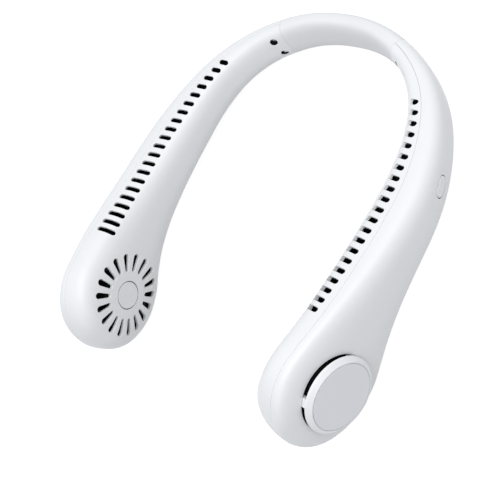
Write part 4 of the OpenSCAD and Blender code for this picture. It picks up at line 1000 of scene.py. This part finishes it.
COVER_RADIUS, COVER_PROUD, COVER_THICK, COVER_LIP = 18.7, 4.9, 1.8, 0.5
COVER_BEVEL, COVER_RIM, INLAY_RADIUS, INLAY_THICK, GROOVE = 1.9, 3.0, 16.4, 0.6, 0.3
LEG_COUNT, LEG_PHASE, LEG_WIDE, LEG_INNER, LEG_GAP, LEG_ROOT = 3, np.radians(-43), 4.4, 16.2, 0.15, 0.3
COVER_FACE = HEAD_FACE + COVER_PROUD
under, bed, rim = COVER_FACE - COVER_THICK, COVER_FACE - INLAY_THICK, COVER_FACE - COVER_RIM
lip, inlay_edge = INLAY_RADIUS + COVER_LIP, INLAY_RADIUS - GROOVE
cover_profile = rounded([
    (0, bed, 0), (INLAY_RADIUS, bed, 0), (INLAY_RADIUS, COVER_FACE, 0.14), (lip, COVER_FACE, 0.25),
    (COVER_RADIUS, COVER_FACE - COVER_BEVEL, 0.5), (COVER_RADIUS, rim, 0.15), (lip, rim, 0.1),
    (INLAY_RADIUS - COVER_LIP, under, 0.2), (0, under, 0)])
bed, seat = bed + CAP_SLIP, INNER_DEPTH - CAP_THICK + CAP_SLIP
inlay_profile, cap_profile = (
    rounded([(0, face, 0), (r, face, edge), (r, back, 0), (0, back, 0)])
    for face, back, r, edge in ((COVER_FACE, bed, inlay_edge, 0.12), (INNER_DEPTH, seat, CAP_RADIUS, 0.22)))
cover = built("cover", *welded([turned_sheet(outward, cover_profile)]))
legs = []
for i in range(LEG_COUNT):
    ray = spun(outward, np.pi / 2 - LEG_PHASE - 2 * np.pi * i / LEG_COUNT)
    bar = block(LEG_WIDE, LEG_INNER, POCKET_RADIUS - LEG_GAP)
    legs.append(drum("leg", ray, bar, POCKET_FLOOR, rim + LEG_ROOT))
cover = taken(carved(cover, legs, "UNION"))
print("cover:", len(cover[2]), "faces")

# %% Power button
BUTTON_PROUD, BUTTON_EDGE, BUTTON_FLOOR, BUTTON_SLIP = 0.1, 0.45, -3.2, 0.1
arc = [(BUTTON_EDGE * (np.sin(t) - 1), BUTTON_EDGE * (np.cos(t) - 1) + BUTTON_PROUD, 90 - np.degrees(t))
       for t in np.radians([0, 20, 40, 60, 75, 90])]
button_levels = based("skin", (None, BUTTON_PROUD, 90), *arc, (0, BUTTON_FLOOR, 0), (0, BUTTON_FLOOR, -90),
                      (None, BUTTON_FLOOR, -90))
button_outline = pill(BUTTON_LONG - BUTTON_SLIP, BUTTON_WIDE - BUTTON_SLIP)
button = welded([stacked(button_spot, button_outline, button_levels)])
placed("round_button", button, 1, "power_key", "button_plastic", "power_button")
inlay, cap = welded([turned_sheet(outward, inlay_profile)]), welded([turned_sheet(inward, cap_profile)])
for arm, side in ARMS.items():
    placed(f"{arm}_cover_plate", cover, side, f"{arm}_arm", "cover_trim", f"{arm}_intake_cover")
    placed(f"{arm}_inlay", inlay, side, f"{arm}_arm", "cover_face", f"{arm}_cover_inlay")
    placed(f"{arm}_cap", cap, side, f"{arm}_arm", "cap_trim", f"{arm}_side_cap")
print(len(PIECES), "pieces made")

# %% [markdown]
# ## Floor and light
#
# The photograph is a product picture: a white ground, soft light from above and hardly a shadow. A floor
# that glows only where it is seen, straight on or in a reflection, gives that ground and adds no soft light
# to the fan. The sky is an even pale grey, and one broad lamp makes the tops a little lighter than the sides.

# %% Studio
FLOOR_HALF, GROUND_GREY, LAMP_SPOT = 3.0, 0.48, (0.35, 0.1, 1.25)
corners = [(x * FLOOR_HALF, y * FLOOR_HALF, 0) for x, y in ((-1, -1), (1, -1), (1, 1), (-1, 1))]
floor_mesh = bpy.data.meshes.new("floor")
floor_mesh.from_pydata(corners, [], [(0, 1, 2, 3)])
floor = linked("floor", floor_mesh)
ground = Finish("white ground", (GROUND_GREY,) * 3, Roughness=0.9)
camera_ray, glossy_ray, passing_ray = (ground.node("ShaderNodeLightPath", output=f"Is {ray} Ray")
                                       for ray in ("Camera", "Glossy", "Transmission"))
seen = camera_ray + glossy_ray + passing_ray
matt = Value(ground, ground.shader.outputs[0])
glow = ground.node("ShaderNodeEmission", None, {"Color": (1, 1, 1, 1), "Strength": 0.82})
both = ground.node("ShaderNodeAddShader", None, {0: glow, 1: matt})
shown = ground.node("ShaderNodeMixShader", None, {0: seen, 1: matt, 2: both})
ground.links.new(shown.socket, ground.nodes["Material Output"].inputs["Surface"])
floor_mesh.materials.append(ground.material)

world = bpy.data.worlds.new("studio")
world.use_nodes = True
sky = world.node_tree.nodes["Background"].inputs
sky["Color"].default_value, sky["Strength"].default_value = (0.92, 0.95, 1, 1), 0.58
bpy.context.scene.world = world
light = bpy.data.lights.new("overhead", "AREA")
light.size, light.energy, light.color = 1.2, 10.8, (1, 0.995, 0.985)
linked("overhead", light).matrix_world = aimed(LAMP_SPOT, (0, 0, 0), 0)
bpy.context.scene.view_settings.view_transform = "Standard"
print("studio is lit")
